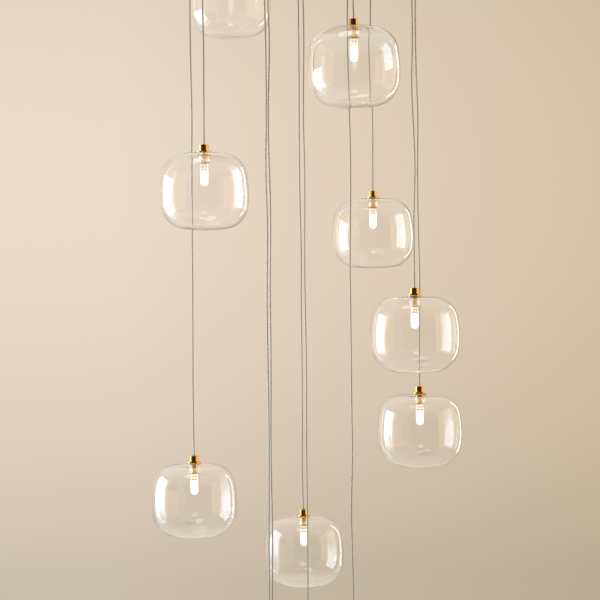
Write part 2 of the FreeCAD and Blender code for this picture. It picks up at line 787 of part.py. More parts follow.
terminal_blank = primitive(
    "Part::Box",
    "terminal_blank",
    Length="Sizes.terminal_length",
    Width="Sizes.terminal_width",
    Height="Sizes.terminal_height",
)
shift(
    terminal_blank,
    "Sizes.mains_out - Sizes.terminal_length / 2",
    "-Sizes.terminal_side - Sizes.terminal_width / 2",
    "Places.plate_bottom - Sizes.terminal_height",
)
POLES = 3
wells = []
for pole in range(POLES):
    well = primitive(
        "Part::Cylinder",
        f"terminal_well_{pole + 1}",
        Radius="Sizes.terminal_hole",
        Height="Sizes.terminal_height / 2",
    )
    shift(
        well,
        f"Sizes.mains_out + Sizes.terminal_length / {POLES} * {pole - 1}",
        "-Sizes.terminal_side",
        "Places.plate_bottom - Sizes.terminal_height",
    )
    wells.append(well)
terminal = doc.addObject("Part::Cut", "mains_terminal")
terminal.Base = terminal_blank
terminal.Tool = group("terminal_wells", wells)
nodes["mains_terminal"] = hang_in_canopy(terminal)

puck_blank = primitive(
    "Part::Cylinder", "puck_blank", Radius="Sizes.puck_radius", Height="Sizes.puck_height"
)
shift(puck_blank, z="Places.plate_bottom - Sizes.puck_height")
PORT_STEP = 360 / len(EXITS)
# The outer exits and the inner ones share the ports in turn, so that no lead crosses another.
PORTS = {
    ("outer", 0): -1,
    ("inner", 0): 0,
    ("outer", 1): 1,
    ("outer", 2): 2,
    ("outer", 3): 3,
    ("inner", 1): 4,
    ("outer", 4): 5,
    ("outer", 5): 6,
    ("outer", 6): 7,
    ("inner", 2): 8,
    ("outer", 7): 9,
    ("outer", 8): 10,
}


def port_angle(place):
    """Where a port of the puck stands, in degrees in the canopy's own frame."""
    return (PORTS[place] + 0.5) * PORT_STEP


ports = []
for count, place in enumerate(PORTS, start=1):
    port = primitive(
        "Part::Cylinder",
        f"port_{count:02}",
        Radius="Sizes.cord_radius + Sizes.port_clearance",
        Height="Sizes.port_depth + Sizes.port_clearance",
    )
    angle = port_angle(place)
    outward = FreeCAD.Rotation(FreeCAD.Vector(0, 1, 0), 90)
    port.Placement.Rotation = FreeCAD.Rotation(FreeCAD.Vector(0, 0, 1), angle) * outward
    reach = "(Sizes.puck_radius - Sizes.port_depth)"
    shift(port, f"{reach} * cos({angle} deg)", f"{reach} * sin({angle} deg)", "Places.lead_height")
    ports.append(port)
puck = doc.addObject("Part::Cut", "distribution_puck")
puck.Base = puck_blank
puck.Tool = group("puck_ports", ports)
nodes["distribution_puck"] = hang_in_canopy(puck)


def widest_bend(shorter, half_turn):
    """The largest arc that the shorter of the two runs beside a corner has room for."""
    return ARC_SHARE * shorter / math.tan(half_turn)


def lead_bend(shorter, half_turn):
    """The leads inside the canopy turn in tighter arcs of one size."""
    return min(SIZES["lead_bend"], widest_bend(shorter, half_turn))


def lead_route(place):
    """From the floor of a grip's socket up through the grip, and in to its port."""
    circle, count = place
    turn = math.radians(360 / (OUTER_EXITS if circle == "outer" else INNER_EXITS) * count)
    reach = SIZES["ring_" + circle]
    angle = math.radians(port_angle(place))
    port_reach = SIZES["puck_radius"] - SIZES["port_depth"]
    mouth_reach = SIZES["puck_radius"] + SIZES["lead_bend"]
    high = PLACES["lead_height"]
    foot = SIZES["socket_depth"] - PLACES["grip_seat"]
    return [
        FreeCAD.Vector(reach * math.cos(turn), reach * math.sin(turn), foot),
        FreeCAD.Vector(reach * math.cos(turn), reach * math.sin(turn), high),
        FreeCAD.Vector(mouth_reach * math.cos(angle), mouth_reach * math.sin(angle), high),
        FreeCAD.Vector(port_reach * math.cos(angle), port_reach * math.sin(angle), high),
    ]


leads = [tube(lead_route(place), SIZES["cord_radius"], lead_bend)[0] for place in PORTS]
inner_leads = feature_of("inner_leads", Part.makeCompound(leads))
nodes["inner_leads"] = hang_in_canopy(inner_leads)

# Two mains leads from the terminals to the driver's end, and two from its side to the puck.
feeds = []
height = PLACES["feed_height"]
for sign in (-1, 1):
    aside = sign * SIZES["feed_spread"] / 2
    column = SIZES["mains_out"] + aside
    row = -SIZES["driver_out"] - aside
    terminal_face = -SIZES["terminal_side"] - SIZES["terminal_width"] / 2 - SIZES["feed_end_gap"]
    driver_end = SIZES["driver_length"] / 2 + SIZES["feed_end_gap"]
    mains = [
        FreeCAD.Vector(column, terminal_face, height),
        FreeCAD.Vector(column, row, height),
        FreeCAD.Vector(driver_end, row, height),
    ]
    driver_side = -SIZES["driver_out"] + SIZES["driver_width"] / 2 + SIZES["feed_end_gap"]
    puck_side = -math.sqrt(SIZES["puck_radius"] ** 2 - aside**2) - SIZES["feed_end_gap"] * 2
    output = [FreeCAD.Vector(aside, driver_side, height), FreeCAD.Vector(aside, puck_side, height)]
    feeds.append(tube(mains, SIZES["cord_radius"], lead_bend)[0])
    feeds.append(tube(output, SIZES["cord_radius"], lead_bend)[0])
feed_leads = feature_of("feed_leads", Part.makeCompound(feeds))
nodes["feed_leads"] = hang_in_canopy(feed_leads)

# ----------------------------------------------------------------------------------------
# One pendant's pieces, each made once in the pendant's own frame
# ----------------------------------------------------------------------------------------
cap = turned(
    "cap",
    [
        ("grip_bore", "cap_roof"),
        ("cap_inner", "cap_roof"),
        ("cap_inner", "cap_foot"),
        ("cap_radius", "cap_foot"),
        ("cap_radius", "cap_shoulder"),
        ("cap_flat", "cap_top"),
        ("socket_mouth", "cap_top"),
        ("socket_floor", "cap_socket"),
        ("grip_bore", "cap_socket"),
    ],
)
drill(cap, "cap_screw_hole", "XZ_Plane", None, "cap_screw_z", "cap_tap")
# A grub screw at the back of the cap, whose tip stands over the sleeve's flange.
cap_screw = primitive(
    "Part::Cylinder", "cap_screw", Radius="Sizes.cap_screw", Height="Sizes.cap_screw_length"
)
cap_screw.Placement.Rotation = FreeCAD.Rotation(FreeCAD.Vector(1, 0, 0), -90)
tip_reach = "Sizes.cap_radius - Sizes.cap_screw_recess - Sizes.cap_screw_length"
shift(cap_screw, y=tip_reach, z="Places.cap_screw_z")
collar = turned(
    "collar",
    [
        ("collar_bore", "collar_foot"),
        ("collar_flat", "collar_foot"),
        ("collar_radius", "collar_low"),
        ("collar_radius", "collar_high"),
        ("collar_flat", "cap_foot"),
        ("collar_bore", "cap_foot"),
    ],
)
# The gasket fills the neck.  The sleeve's heel draws it up, and it swells and grips the glass.
gasket = turned(
    "gasket",
    [
        ("collar_bore", "heel_top"),
        ("gasket_shank", "heel_top"),
        ("gasket_shank", "gasket_foot"),
        ("gasket_radius", "gasket_foot"),
        ("gasket_radius", "collar_foot"),
        ("collar_bore", "collar_foot"),
    ],
)
sleeve = turned(
    "lampholder_sleeve",
    [
        ("sleeve_inner", "neck_end"),
        ("sleeve_heel", "neck_end"),
        ("sleeve_heel", "heel_top"),
        ("sleeve_radius", "heel_top"),
        ("sleeve_radius", "cap_foot"),
        ("sleeve_flange", "cap_foot"),
        ("sleeve_flange", "sleeve_top"),
        ("sleeve_inner", "sleeve_top"),
        ("sleeve_inner", "ledge_top"),
        ("sleeve_ledge", "ledge_top"),
        ("sleeve_ledge", "ledge_foot"),
        ("sleeve_inner", "ledge_foot"),
    ],
)
insert_blank = turned(
    "insert_blank",
    [
        (None, "insert_foot"),
        ("insert_head", "insert_foot"),
        ("insert_head", "neck_end"),
        ("insert_radius", "neck_end"),
        ("insert_radius", "insert_top"),
        (None, "insert_top"),
    ],
)
pins = []
pin_holes = []
for side, sign in (("left", "-"), ("right", "")):
    pin = primitive(
        "Part::Cylinder",
        f"lamp_pin_{side}",
        Radius="Sizes.pin_radius",
        Height="Sizes.pin_length",
    )
    shift(pin, f"{sign}Sizes.pin_spread", z="Places.lamp_top")
    pins.append(pin)
    pin_hole = primitive(
        "Part::Cylinder",
        f"pin_hole_{side}",
        Radius="Sizes.pin_radius + Sizes.fit_clearance",
        Height="Sizes.pin_length + Sizes.fit_clearance",
    )
    shift(pin_hole, f"{sign}Sizes.pin_spread", z="Places.lamp_top")
    pin_holes.append(pin_hole)
insert = doc.addObject("Part::Cut", "lampholder_insert")
insert.Base = insert_blank
insert.Tool = group("pin_holes", pin_holes)

# The glass: blown in one piece, with its neck folded down inside and a closed, rounded base.
shade = turned(
    "shade",
    [
        ("neck_bore", "neck_end"),
        ("neck_outer", "neck_end"),
        ("neck_outer", "lip_level"),
        ("inner_lip_x", "inner_lip_y"),
        ("inner_crown_x", "inner_crown_y"),
        ("inner_high_x", "inner_high_y"),
        ("inner_widest_x", "inner_widest_y"),
        ("inner_low_x", "inner_low_y"),
        ("inner_base_x", "inner_base_y"),
        (None, "shade_wall"),
        (None, None),
        ("outer_base_x", "outer_base_y"),
        ("outer_low_x", "outer_low_y"),
        ("outer_widest_x", "outer_widest_y"),
        ("outer_high_x", "outer_high_y"),
        ("outer_crown_x", "outer_crown_y"),
        ("outer_lip_x", "outer_lip_y"),
        ("neck_bore", "lip_level"),
    ],
    {
        2: ("neck_fillet", CENTRES["lip"], False),
        3: ("crown_inner", CENTRES["crown"][:2], False),
        4: ("high_corner_inner", CENTRES["high_corner"], False),
        5: ("high_side_inner", CENTRES["high_side"][:2], False),
        6: ("low_side_inner", CENTRES["low_side"][:2], False),
        7: ("low_corner_inner", CENTRES["low_corner"], False),
        8: ("base_inner", CENTRES["base"][:2], False),
        10: ("base_radius", CENTRES["base"][:2], True),
        11: ("low_corner", CENTRES["low_corner"], True),
        12: ("low_side_radius", CENTRES["low_side"][:2], True),
        13: ("high_side_radius", CENTRES["high_side"][:2], True),
        14: ("high_corner", CENTRES["high_corner"], True),
        15: ("crown_radius", CENTRES["crown"][:2], True),
        16: ("lip_radius", CENTRES["lip"], True),
    },
)

# The capsule lamp: a sealed glass envelope with a pinched base, a burner and two pins.
lamp_glass = turned(
    "lamp_glass",
    [
        (None, "lamp_tip"),
        ("lamp_radius", "lamp_round"),
        ("lamp_radius", "lamp_shoulder"),
        ("lamp_base_radius", "lamp_neck"),
        ("lamp_base_radius", "lamp_top"),
        (None, "lamp_top"),
        (None, "lamp_shoulder"),
        ("lamp_inner", "lamp_shoulder"),
        ("lamp_inner", "lamp_round"),
        (None, "lamp_inner_tip"),
    ],
    {
        0: ("lamp_radius", (0.0, number("lamp_round")), True),
        8: ("lamp_inner", (0.0, number("lamp_round")), False),
    },
)
lamp_core = primitive(
    "Part::Cylinder", "lamp_core", Radius="Sizes.lamp_core", Height="Sizes.lamp_core_length"
)
shift(lamp_core, z="Places.core_foot")
doc.recompute()


# ----------------------------------------------------------------------------------------
# The twelve drops: a cord, its fitting, its shade and its lamp
# ----------------------------------------------------------------------------------------
for drop in EXITS:
    tag = f"{drop:02}"
    across = PLACES[f"exit_{tag}_x"]
    along = PLACES[f"exit_{tag}_y"]
    top = PLACES["cord_start"]
    foot = PLACES[f"cord_{tag}_foot"]
    route = [FreeCAD.Vector(across, along, top)]
    for share, aside, behind in WANDER[drop]:
        route.append(FreeCAD.Vector(across + aside, along + behind, top + (foot - top) * share))
    route.append(FreeCAD.Vector(across, along, foot))
    solid, length, tightest = tube(route, SIZES["cord_radius"], widest_bend)
    print(f"cord_{tag}: length {length:.0f} mm, tightest arc {tightest:.0f} mm")
    nodes[f"cord_{tag}"] = feature_of(f"cord_{tag}", solid)
    where = (f"Places.exit_{tag}_x", f"Places.exit_{tag}_y", f"Places.pendant_{tag}_z")
    for kind, pieces in (
        ("fitting", [cap, cap_screw, collar, sleeve]),
        ("shade", [shade]),
        ("lamp", [gasket, insert, lamp_glass, lamp_core, *pins]),
    ):
        label = f"{kind}_{tag}"
        nodes[label] = group(label, pieces)
        shift(nodes[label], *where)

# ----------------------------------------------------------------------------------------
# Test every object, then write one file for each sub-part
# ----------------------------------------------------------------------------------------
doc.recompute()
for thing in doc.Objects:
    assert not {"Invalid", "Error"} & set(thing.State), f"{thing.Label} has failed"
for name, piece in nodes.items():
    shape = piece.Shape
    assert not shape.isNull() and shape.isValid(), f"{name} has no sound shape"
    assert all(solid.Volume > 0 for solid in shape.Solids), f"{name} has an empty solid"
    shape.exportStep(f"parts/{name}.step")
print(len(nodes), "sub-parts,", sum(len(p.Shape.Solids) for p in nodes.values()), "solids")
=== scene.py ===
import json
import math

import bmesh
import bpy
from mathutils import Matrix, Vector

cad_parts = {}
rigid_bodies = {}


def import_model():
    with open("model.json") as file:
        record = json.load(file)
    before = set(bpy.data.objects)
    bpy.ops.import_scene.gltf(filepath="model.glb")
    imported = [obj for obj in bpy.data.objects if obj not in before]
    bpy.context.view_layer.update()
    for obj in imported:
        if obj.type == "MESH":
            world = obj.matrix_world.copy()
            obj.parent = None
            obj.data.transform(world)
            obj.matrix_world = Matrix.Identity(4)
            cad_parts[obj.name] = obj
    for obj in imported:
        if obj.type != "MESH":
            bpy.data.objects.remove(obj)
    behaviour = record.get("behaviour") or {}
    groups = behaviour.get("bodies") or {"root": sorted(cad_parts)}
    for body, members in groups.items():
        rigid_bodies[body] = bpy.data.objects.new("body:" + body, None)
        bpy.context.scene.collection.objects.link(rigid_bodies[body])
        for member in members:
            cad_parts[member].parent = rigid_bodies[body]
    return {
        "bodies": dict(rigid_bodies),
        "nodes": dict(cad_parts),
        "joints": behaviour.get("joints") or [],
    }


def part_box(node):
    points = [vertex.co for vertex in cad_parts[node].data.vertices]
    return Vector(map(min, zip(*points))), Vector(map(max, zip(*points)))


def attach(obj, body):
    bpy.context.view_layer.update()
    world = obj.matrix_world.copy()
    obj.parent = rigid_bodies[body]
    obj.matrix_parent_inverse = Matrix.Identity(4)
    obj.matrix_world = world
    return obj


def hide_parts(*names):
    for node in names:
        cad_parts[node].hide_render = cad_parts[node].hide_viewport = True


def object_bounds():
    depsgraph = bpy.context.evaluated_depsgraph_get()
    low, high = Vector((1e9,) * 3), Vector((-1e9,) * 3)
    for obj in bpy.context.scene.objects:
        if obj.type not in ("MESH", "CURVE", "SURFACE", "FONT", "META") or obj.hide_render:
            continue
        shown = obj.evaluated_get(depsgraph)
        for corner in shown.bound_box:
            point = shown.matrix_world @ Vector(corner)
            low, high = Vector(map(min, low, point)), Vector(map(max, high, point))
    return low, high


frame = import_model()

# Cluster pendant: twelve clear blown-glass shades on their own cords under one round canopy.
# Metres, +Z up.  The origin is the centre of the canopy's ceiling face.
cad_low, cad_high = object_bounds()
scene = bpy.context.scene
joint_at = {joint["name"]: Vector(joint["pos_m"]) for joint in frame["joints"]}
DROPS = sorted(name[-2:] for name in frame["bodies"] if name.startswith("pendant_"))


# ----------------------------------------
# The view: level, from 2.6 m in front, at the height of the middle drops.
# The picture leans by less than half a degree.

CAMERA_PLACE = (-0.0127, -2.610, -0.816)
CAMERA_LEAN = math.radians(0.43)
LENS = 90.0

camera_data = bpy.data.cameras.new("camera")
camera_data.lens = LENS
camera = bpy.data.objects.new("camera", camera_data)
camera.location = CAMERA_PLACE
camera.rotation_euler = (math.pi / 2, CAMERA_LEAN, 0.0)
scene.collection.objects.link(camera)
scene.camera = camera
scene.view_settings.view_transform = "Standard"
scene.cycles.caustics_reflective = False
scene.cycles.caustics_refractive = False
scene.cycles.max_bounces = 20
scene.cycles.transmission_bounces = 20
scene.cycles.glossy_bounces = 6


# ----------------------------------------
# The studio: a warm wall with a soft pool of light high on its left, a pale floor, a tall
# softbox on the left and dimmer panels around.  Polished surfaces see the dark side behind
# the viewer, and glass bends in the pale ceiling and floor.

WALL_LIT = (0.835, 0.7055, 0.581)
WALL_DIM = (0.597, 0.5085, 0.403)
WALL_RIGHT_TINT = (0.835, 0.793, 0.716)
TINT_START, TINT_END = -0.12, 0.20
ROOM_DARK = (0.045, 0.030, 0.020)
ROOM_AIR = (0.62, 0.57, 0.52)
DARK_SIDE = (-0.30, -0.954, 0.0)
DARK_START, DARK_FULL = 0.34, 0.55
CEILING = (1.0, 0.93, 0.85)
CEILING_START, CEILING_FULL = 0.16, 0.50
FLOOR_BELOW = (0.86, 0.76, 0.64)
BELOW_START, BELOW_FULL = -0.20, -0.50
POOL_CENTRE = (-0.30, 0.0, 0.081)
POOL_SPREAD = (1.08, 0.0, 6.22)
POOL_END = 2.8


def add_node(tree, kind, place, **settings):
    """One node, with its settings and its unlinked inputs given by name."""
    node = tree.nodes.new("ShaderNode" + kind)
    node.location = (place[0] * 200, place[1] * -160)
    for name, value in settings.items():
        if hasattr(node, name):
            setattr(node, name, value)
        else:
            node.inputs[name.replace("_", " ").title()].default_value = value
    return node


def link(tree, *pairs):
    """Join outputs to inputs: (node, output, node, input)."""
    for source, output, target, entry in pairs:
        tree.links.new(source.outputs[output], target.inputs[entry])


def mix(tree, place, first, second, **settings):
    """A mix of two colours; one given as None is linked later."""
    node = add_node(tree, "Mix", place, data_type="RGBA", **settings)
    for entry, colour in ((6, first), (7, second)):
        if colour:
            node.inputs[entry].default_value = (*colour, 1.0)
    return node


def ramp(tree, place, start, stop, **settings):
    """A smooth step from 0 to 1 as the value goes from start to stop."""
    settings.update(interpolation_type="SMOOTHSTEP", From_Min=start, From_Max=stop)
    return add_node(tree, "MapRange", place, **settings)


def build_room():
    """The wall, and what reflections and glass see of the rest of the room."""
    world = bpy.data.worlds.new("studio")
    world.use_nodes = True
    tree = world.node_tree
    tree.nodes.clear()
    direction = add_node(tree, "TexCoord", (0, 0))
    shifted = add_node(tree, "VectorMath", (1, 0), operation="SUBTRACT")
    shifted.inputs[1].default_value = POOL_CENTRE
    spread = add_node(tree, "VectorMath", (2, 0), operation="MULTIPLY")
    spread.inputs[1].default_value = POOL_SPREAD
    square = add_node(tree, "VectorMath", (3, 0), operation="DOT_PRODUCT")
    fall = add_node(tree, "MapRange", (4, 0), From_Max=POOL_END)
    wall = mix(tree, (5, 0), WALL_LIT, WALL_DIM)
    axes = add_node(tree, "SeparateXYZ", (1, 2))
    rightward = add_node(tree, "MapRange", (2, 1), From_Min=TINT_START, From_Max=TINT_END)
    tinted = mix(tree, (6, 0), None, WALL_RIGHT_TINT, blend_type="MULTIPLY")
    upward = add_node(tree, "MapRange", (6, 2), From_Min=CEILING_START, From_Max=CEILING_FULL)
    above = add_node(tree, "Math", (7, 1), operation="MULTIPLY")
    roofed = mix(tree, (7, 0), None, CEILING)
    downward = add_node(tree, "MapRange", (6, 3), From_Min=BELOW_START, From_Max=BELOW_FULL)
    beneath = add_node(tree, "Math", (7, 3), operation="MULTIPLY")
    floored = mix(tree, (8, 0), None, FLOOR_BELOW)
    facing = add_node(tree, "VectorMath", (1, 3), operation="DOT_PRODUCT")
    facing.inputs[1].default_value = DARK_SIDE
    behind = ramp(tree, (2, 2), DARK_START, DARK_FULL)
    rays = add_node(tree, "LightPath", (2, 4))
    mirrored = add_node(tree, "Math", (3, 3), operation="MULTIPLY")
    not_through = add_node(tree, "Math", (3, 5), operation="SUBTRACT")
    not_through.inputs[0].default_value = 1.0
    outside_only = add_node(tree, "Math", (4, 3), operation="MULTIPLY")
    shown = mix(tree, (6, 1), None, ROOM_DARK)
    seen = add_node(tree, "Math", (4, 4), operation="MAXIMUM")
    seen_all = add_node(tree, "Math", (5, 4), operation="MAXIMUM")
    colour = mix(tree, (7, 2), ROOM_AIR, None)
    background = add_node(tree, "Background", (8, 2))
    output = add_node(tree, "OutputWorld", (9, 2))
    link(
        tree,
        (direction, "Generated", shifted, 0),
        (shifted, 0, spread, 0),
        (spread, 0, square, 0),
        (spread, 0, square, 1),
        (square, "Value", fall, "Value"),
        (fall, "Result", wall, 0),
        (direction, "Generated", axes, 0),
        (axes, "X", rightward, "Value"),
        (rightward, "Result", tinted, 0),
        (wall, 2, tinted, 6),
        (direction, "Generated", facing, 0),
        (facing, "Value", behind, "Value"),
        (behind, "Result", mirrored, 0),
        (rays, "Is Glossy Ray", mirrored, 1),
        (rays, "Is Transmission Ray", not_through, 1),
        (mirrored, 0, outside_only, 0),
        (not_through, 0, outside_only, 1),
        (outside_only, 0, shown, 0),
        (axes, "Z", upward, "Value"),
        (upward, "Result", above, 0),
        (rays, "Is Transmission Ray", above, 1),
        (above, 0, roofed, 0),
        (tinted, 2, roofed, 6),
        (axes, "Z", downward, "Value"),
        (downward, "Result", beneath, 0),
        (rays, "Is Transmission Ray", beneath, 1),
        (beneath, 0, floored, 0),
        (roofed, 2, floored, 6),
        (floored, 2, shown, 6),
        (rays, "Is Camera Ray", seen, 0),
        (rays, "Is Glossy Ray", seen, 1),
        (seen, 0, seen_all, 0),
        (rays, "Is Transmission Ray", seen_all, 1),
        (seen_all, 0, colour, 0),
        (shown, 2, colour, 7),
        (colour, 2, background, "Color"),
        (background, 0, output, 0),
    )
    scene.world = world


build_room()

# Each panel: where its middle is, its width and height, how bright its face is, its colour,
# and what share of that brightness its lower part keeps.
HEIGHT_OF_LIGHT = -0.8
PANELS = {
    "softbox_left": ((-1.85, 0.44, -1.20), 1.35, 2.00, 5.0, (0.64, 0.81, 1.0), 0.22),
    "panel_left_front": ((-2.95, -0.40, -0.8), 0.60, 2.4, 0.8, (1.0, 0.97, 0.94), 1.0),
    "strip_front": ((-2.10, -2.14, -0.8), 0.60, 2.6, 0.08, (1.0, 0.97, 0.93), 1.0),
    "panel_right": ((2.60, -0.25, -0.8), 3.4, 2.2, 1.0, (1.0, 0.76, 0.50), 1.0),
    "strip_right_back": ((1.80, 1.95, -0.8), 0.40, 2.4, 2.0, (1.0, 0.98, 0.95), 1.0),
    "panel_top": ((-0.4, -0.9, 1.9), 1.4, 1.4, 2.0, (1.0, 0.98, 0.95), 1.0),
}
FADE_LOW, FADE_HIGH = 0.20, 0.44


def fade_downward(light, share):
    """The panel's lower part keeps only a share of its brightness."""
    light.use_nodes = True
    tree = light.node_tree
    across = add_node(tree, "NewGeometry", (-4, 0))
    parts = add_node(tree, "SeparateXYZ", (-3, 0))
    step = ramp(tree, (-2, 0), FADE_LOW, FADE_HIGH, To_Min=share)
    glow = tree.nodes["Emission"]
    link(
        tree,
        (across, "Parametric", parts, 0),
        (parts, "Y", step, "Value"),
        (step, "Result", glow, "Strength"),
    )


for name, (middle, width, height, face, colour, kept) in PANELS.items():
    light = bpy.data.lights.new(name, "AREA")
    light.shape = "RECTANGLE"
    light.size = width
    light.size_y = height
    light.energy = face * math.pi * width * height
    light.color = colour
    if kept < 1.0:
        fade_downward(light, kept)
    lamp = bpy.data.objects.new(name, light)
    lamp.location = middle
    towards = Vector((0.0, 0.0, HEIGHT_OF_LIGHT)) - Vector(middle)
    if abs(towards.z) < towards.xy.length:
        towards.z = 0.0
    lamp.rotation_euler = towards.to_track_quat("-Z", "Y").to_euler()
    lamp.visible_camera = False
    scene.collection.objects.link(lamp)


FLOOR_LEVEL = cad_low.z - 0.55
FLOOR_RADIUS = 1.5
FADE_START, FADE_END = FLOOR_RADIUS * 0.45, FLOOR_RADIUS * 0.98
FLOOR_TONE = (0.78, 0.71, 0.62, 1.0)


def mesh_data(mesh, name):
    """The finished mesh, and the working one let go."""
    data = bpy.data.meshes.new(name)
    mesh.to_mesh(data)
    mesh.free()
    return data


def build_floor():
    """A pale disc under the light that fades out before its edge."""
    mesh = bmesh.new()
    bmesh.ops.create_circle(mesh, cap_ends=True, radius=FLOOR_RADIUS, segments=96)
    floor = bpy.data.objects.new("floor", mesh_data(mesh, "floor"))
    floor.location.z = FLOOR_LEVEL
    floor.visible_transmission = False
    scene.collection.objects.link(floor)
    material = bpy.data.materials.new("pale_floor")
    material.use_nodes = True
    tree = material.node_tree
    tree.nodes.clear()
    place = add_node(tree, "TexCoord", (0, 0))
    reach = add_node(tree, "VectorMath", (1, 0), operation="LENGTH")
    fade = ramp(tree, (2, 0), FADE_START, FADE_END)
    matt = add_node(tree, "BsdfDiffuse", (2, 1), Color=FLOOR_TONE)
    clear = add_node(tree, "BsdfTransparent", (2, 2))
    blend = add_node(tree, "MixShader", (3, 0))
    output = add_node(tree, "OutputMaterial", (4, 0))
    link(
        tree,
        (place, "Object", reach, 0),
        (reach, "Value", fade, "Value"),
        (fade, "Result", blend, 0),
        (matt, 0, blend, 1),
        (clear, 0, blend, 2),
        (blend, 0, output, 0),
    )
    floor.data.materials.append(material)


build_floor()


# ----------------------------------------
# Cords: a fine tinned braid under a clear sheath, 2.8 mm thick, one for each drop.  Each
# leaves its grip plumb, keeps a little memory of its reel, and ends in its own cap.

CORD_RADIUS = 0.0014
BRAID_STRANDS = 8.0
BRAID_PITCH = 0.0075
# The share of the cord's length so far, and how far it stands off the plumb line there, to
# the right and back, in tenths of a millimetre.
TENTHS_IN_METRE = 10000
WANDER = {
    "01": [(0.50, 5, -4)],
    "02": [(0.30, -8, 6), (0.62, -18, -5), (0.84, -15, 4)],
    "03": [(0.25, 6, -5), (0.53, -9, 8), (0.68, 7, 3), (0.85, 1, -6)],
    "04": [(0.18, -8, 5), (0.37, -15, -6), (0.51, -34, 4), (0.65, -8, 9), (0.80, 9, -4),
           (0.90, 2, 3)],
    "05": [(0.15, -5, 4), (0.33, -14, -6), (0.42, 1, 3), (0.54, -30, 8), (0.64, 6, -5),
           (0.73, 28, -2), (0.83, -4, 6), (0.92, -3, -4)],
    "06": [(0.12, -10, 5), (0.30, -32, -6), (0.39, -20, 4), (0.47, 10, 7), (0.57, -12, -5),
           (0.69, -4, 3), (0.79, 22, -4), (0.90, 4, 5)],
    "07": [(0.12, -6, 6), (0.28, -20, -4), (0.37, -2, 5), (0.44, 7, 3), (0.51, -16, -6),
           (0.64, -4, 4), (0.78, -6, -5), (0.90, -16, 3)],
    "08": [(0.08, -16, 4), (0.17, -30, -5), (0.26, -22, 6), (0.42, -33, -4), (0.50, -26, 5),
           (0.58, -5, 2), (0.65, -20, -6), (0.76, -8, 4), (0.86, -13, -3), (0.95, -25, 5)],
    "09": [(0.10, -6, 5), (0.21, -9, -5), (0.27, 27, 6), (0.33, -3, 3), (0.39, -13, -4),
           (0.49, 25, 7), (0.58, -2, -6), (0.67, 11, 4), (0.80, -9, -3), (0.90, 15, 5),
           (0.96, 1, -3)],
    "10": [(0.08, 5, -4), (0.16, 3, 5), (0.24, -22, 4), (0.31, 6, -6), (0.41, 33, 3),
           (0.53, -1, 6), (0.63, 12, -5), (0.71, 11, 3), (0.79, 26, -4), (0.85, -8, 5),
           (0.92, 9, 2), (0.965, 26, -4)],
    "11": [(0.08, 4, 5), (0.16, -5, -4), (0.23, 19, 5), (0.32, 17, -6), (0.38, -7, 3),
           (0.44, 29, 6), (0.55, -1, -5), (0.63, 19, 4), (0.72, 25, -3), (0.80, 9, 5),
           (0.90, 6, -4)],
    "12": [(0.06, -4, 4), (0.13, 2, -5), (0.19, 16, 3), (0.28, -12, 5), (0.35, 16, -4),
           (0.45, -9, 6), (0.52, 7, -3), (0.59, 18, 4), (0.65, 3, -5), (0.75, 16, 4),
           (0.88, 10, -5)],
}


def cord_route(drop):
    """From the grip to the cap, by the points that the cord's line is drawn towards."""
    start = joint_at["swing_" + drop]
    end = joint_at["rock_" + drop]
    points = [start]
    for share, *offset in WANDER[drop]:
        aside, back = (tenths / TENTHS_IN_METRE for tenths in offset)
        points.append(start.lerp(end, share) + Vector((aside, back, 0.0)))
    points.append(end)
    return points


def new_group(name, inputs, outputs):
    """An empty shader group with float inputs {name: value} and float outputs."""
    group = bpy.data.node_groups.new(name, "ShaderNodeTree")
    for label, value in inputs.items():
        socket = group.interface.new_socket(label, in_out="INPUT", socket_type="NodeSocketFloat")
        socket.default_value = value
    for label in outputs:
        group.interface.new_socket(label, in_out="OUTPUT", socket_type="NodeSocketFloat")
    return group, group.nodes.new("NodeGroupInput"), group.nodes.new("NodeGroupOutput")


def handling_group():
    """Faint smudges and dust that hands and air leave: a soft mask and a fine mask."""
    group, entry, exit_ = new_group(
        "handling_marks", {"Size": 12.0, "Contrast": 0.5}, ("Smudge", "Dust")
    )
    place = add_node(group, "TexCoord", (0, 1))
    broad = add_node(group, "TexNoise", (1, 0), Detail=4.0, Roughness=0.62, Distortion=0.9)
    fine = add_node(group, "TexNoise", (1, 2), Detail=3.0, Roughness=0.7)
    finer = add_node(group, "Math", (0, 3), operation="MULTIPLY")
    finer.inputs[1].default_value = 36.0
    low = add_node(group, "Math", (1, 4), operation="MULTIPLY_ADD")
    low.inputs[1].default_value = -0.35
    low.inputs[2].default_value = 0.55
    smudge = ramp(group, (2, 0), 0.0, 0.72)
    dust = add_node(group, "MapRange", (2, 2), From_Min=0.60, From_Max=0.72)
    link(
        group,
        (place, "Object", broad, "Vector"),
        (place, "Object", fine, "Vector"),
        (entry, "Size", broad, "Scale"),
        (entry, "Size", finer, 0),
        (finer, 0, fine, "Scale"),
        (entry, "Contrast", low, 0),
        (low, 0, smudge, "From Min"),
        (broad, "Fac", smudge, "Value"),
        (fine, "Fac", dust, "Value"),
        (smudge, "Result", exit_, "Smudge"),
        (dust, "Result", exit_, "Dust"),
    )
    return group


HANDLING = handling_group()


def place_group(tree, group, place, **values):
    """A shader group used in a material, with its own values."""
    node = tree.nodes.new("ShaderNodeGroup")
    node.node_tree = group
    node.location = (place[0] * 200, place[1] * -160)
    for name, value in values.items():
        node.inputs[name].default_value = value
    return node


def new_material(name, **settings):
    """A material with one Principled shader, its constants set on the shader's own sockets."""
    material = bpy.data.materials.new(name)
    material.use_nodes = True
    shader = material.node_tree.nodes["Principled BSDF"]
    for label, value in settings.items():
        shader.inputs[label.replace("_", " ")].default_value = value
    return material, material.node_tree, shader


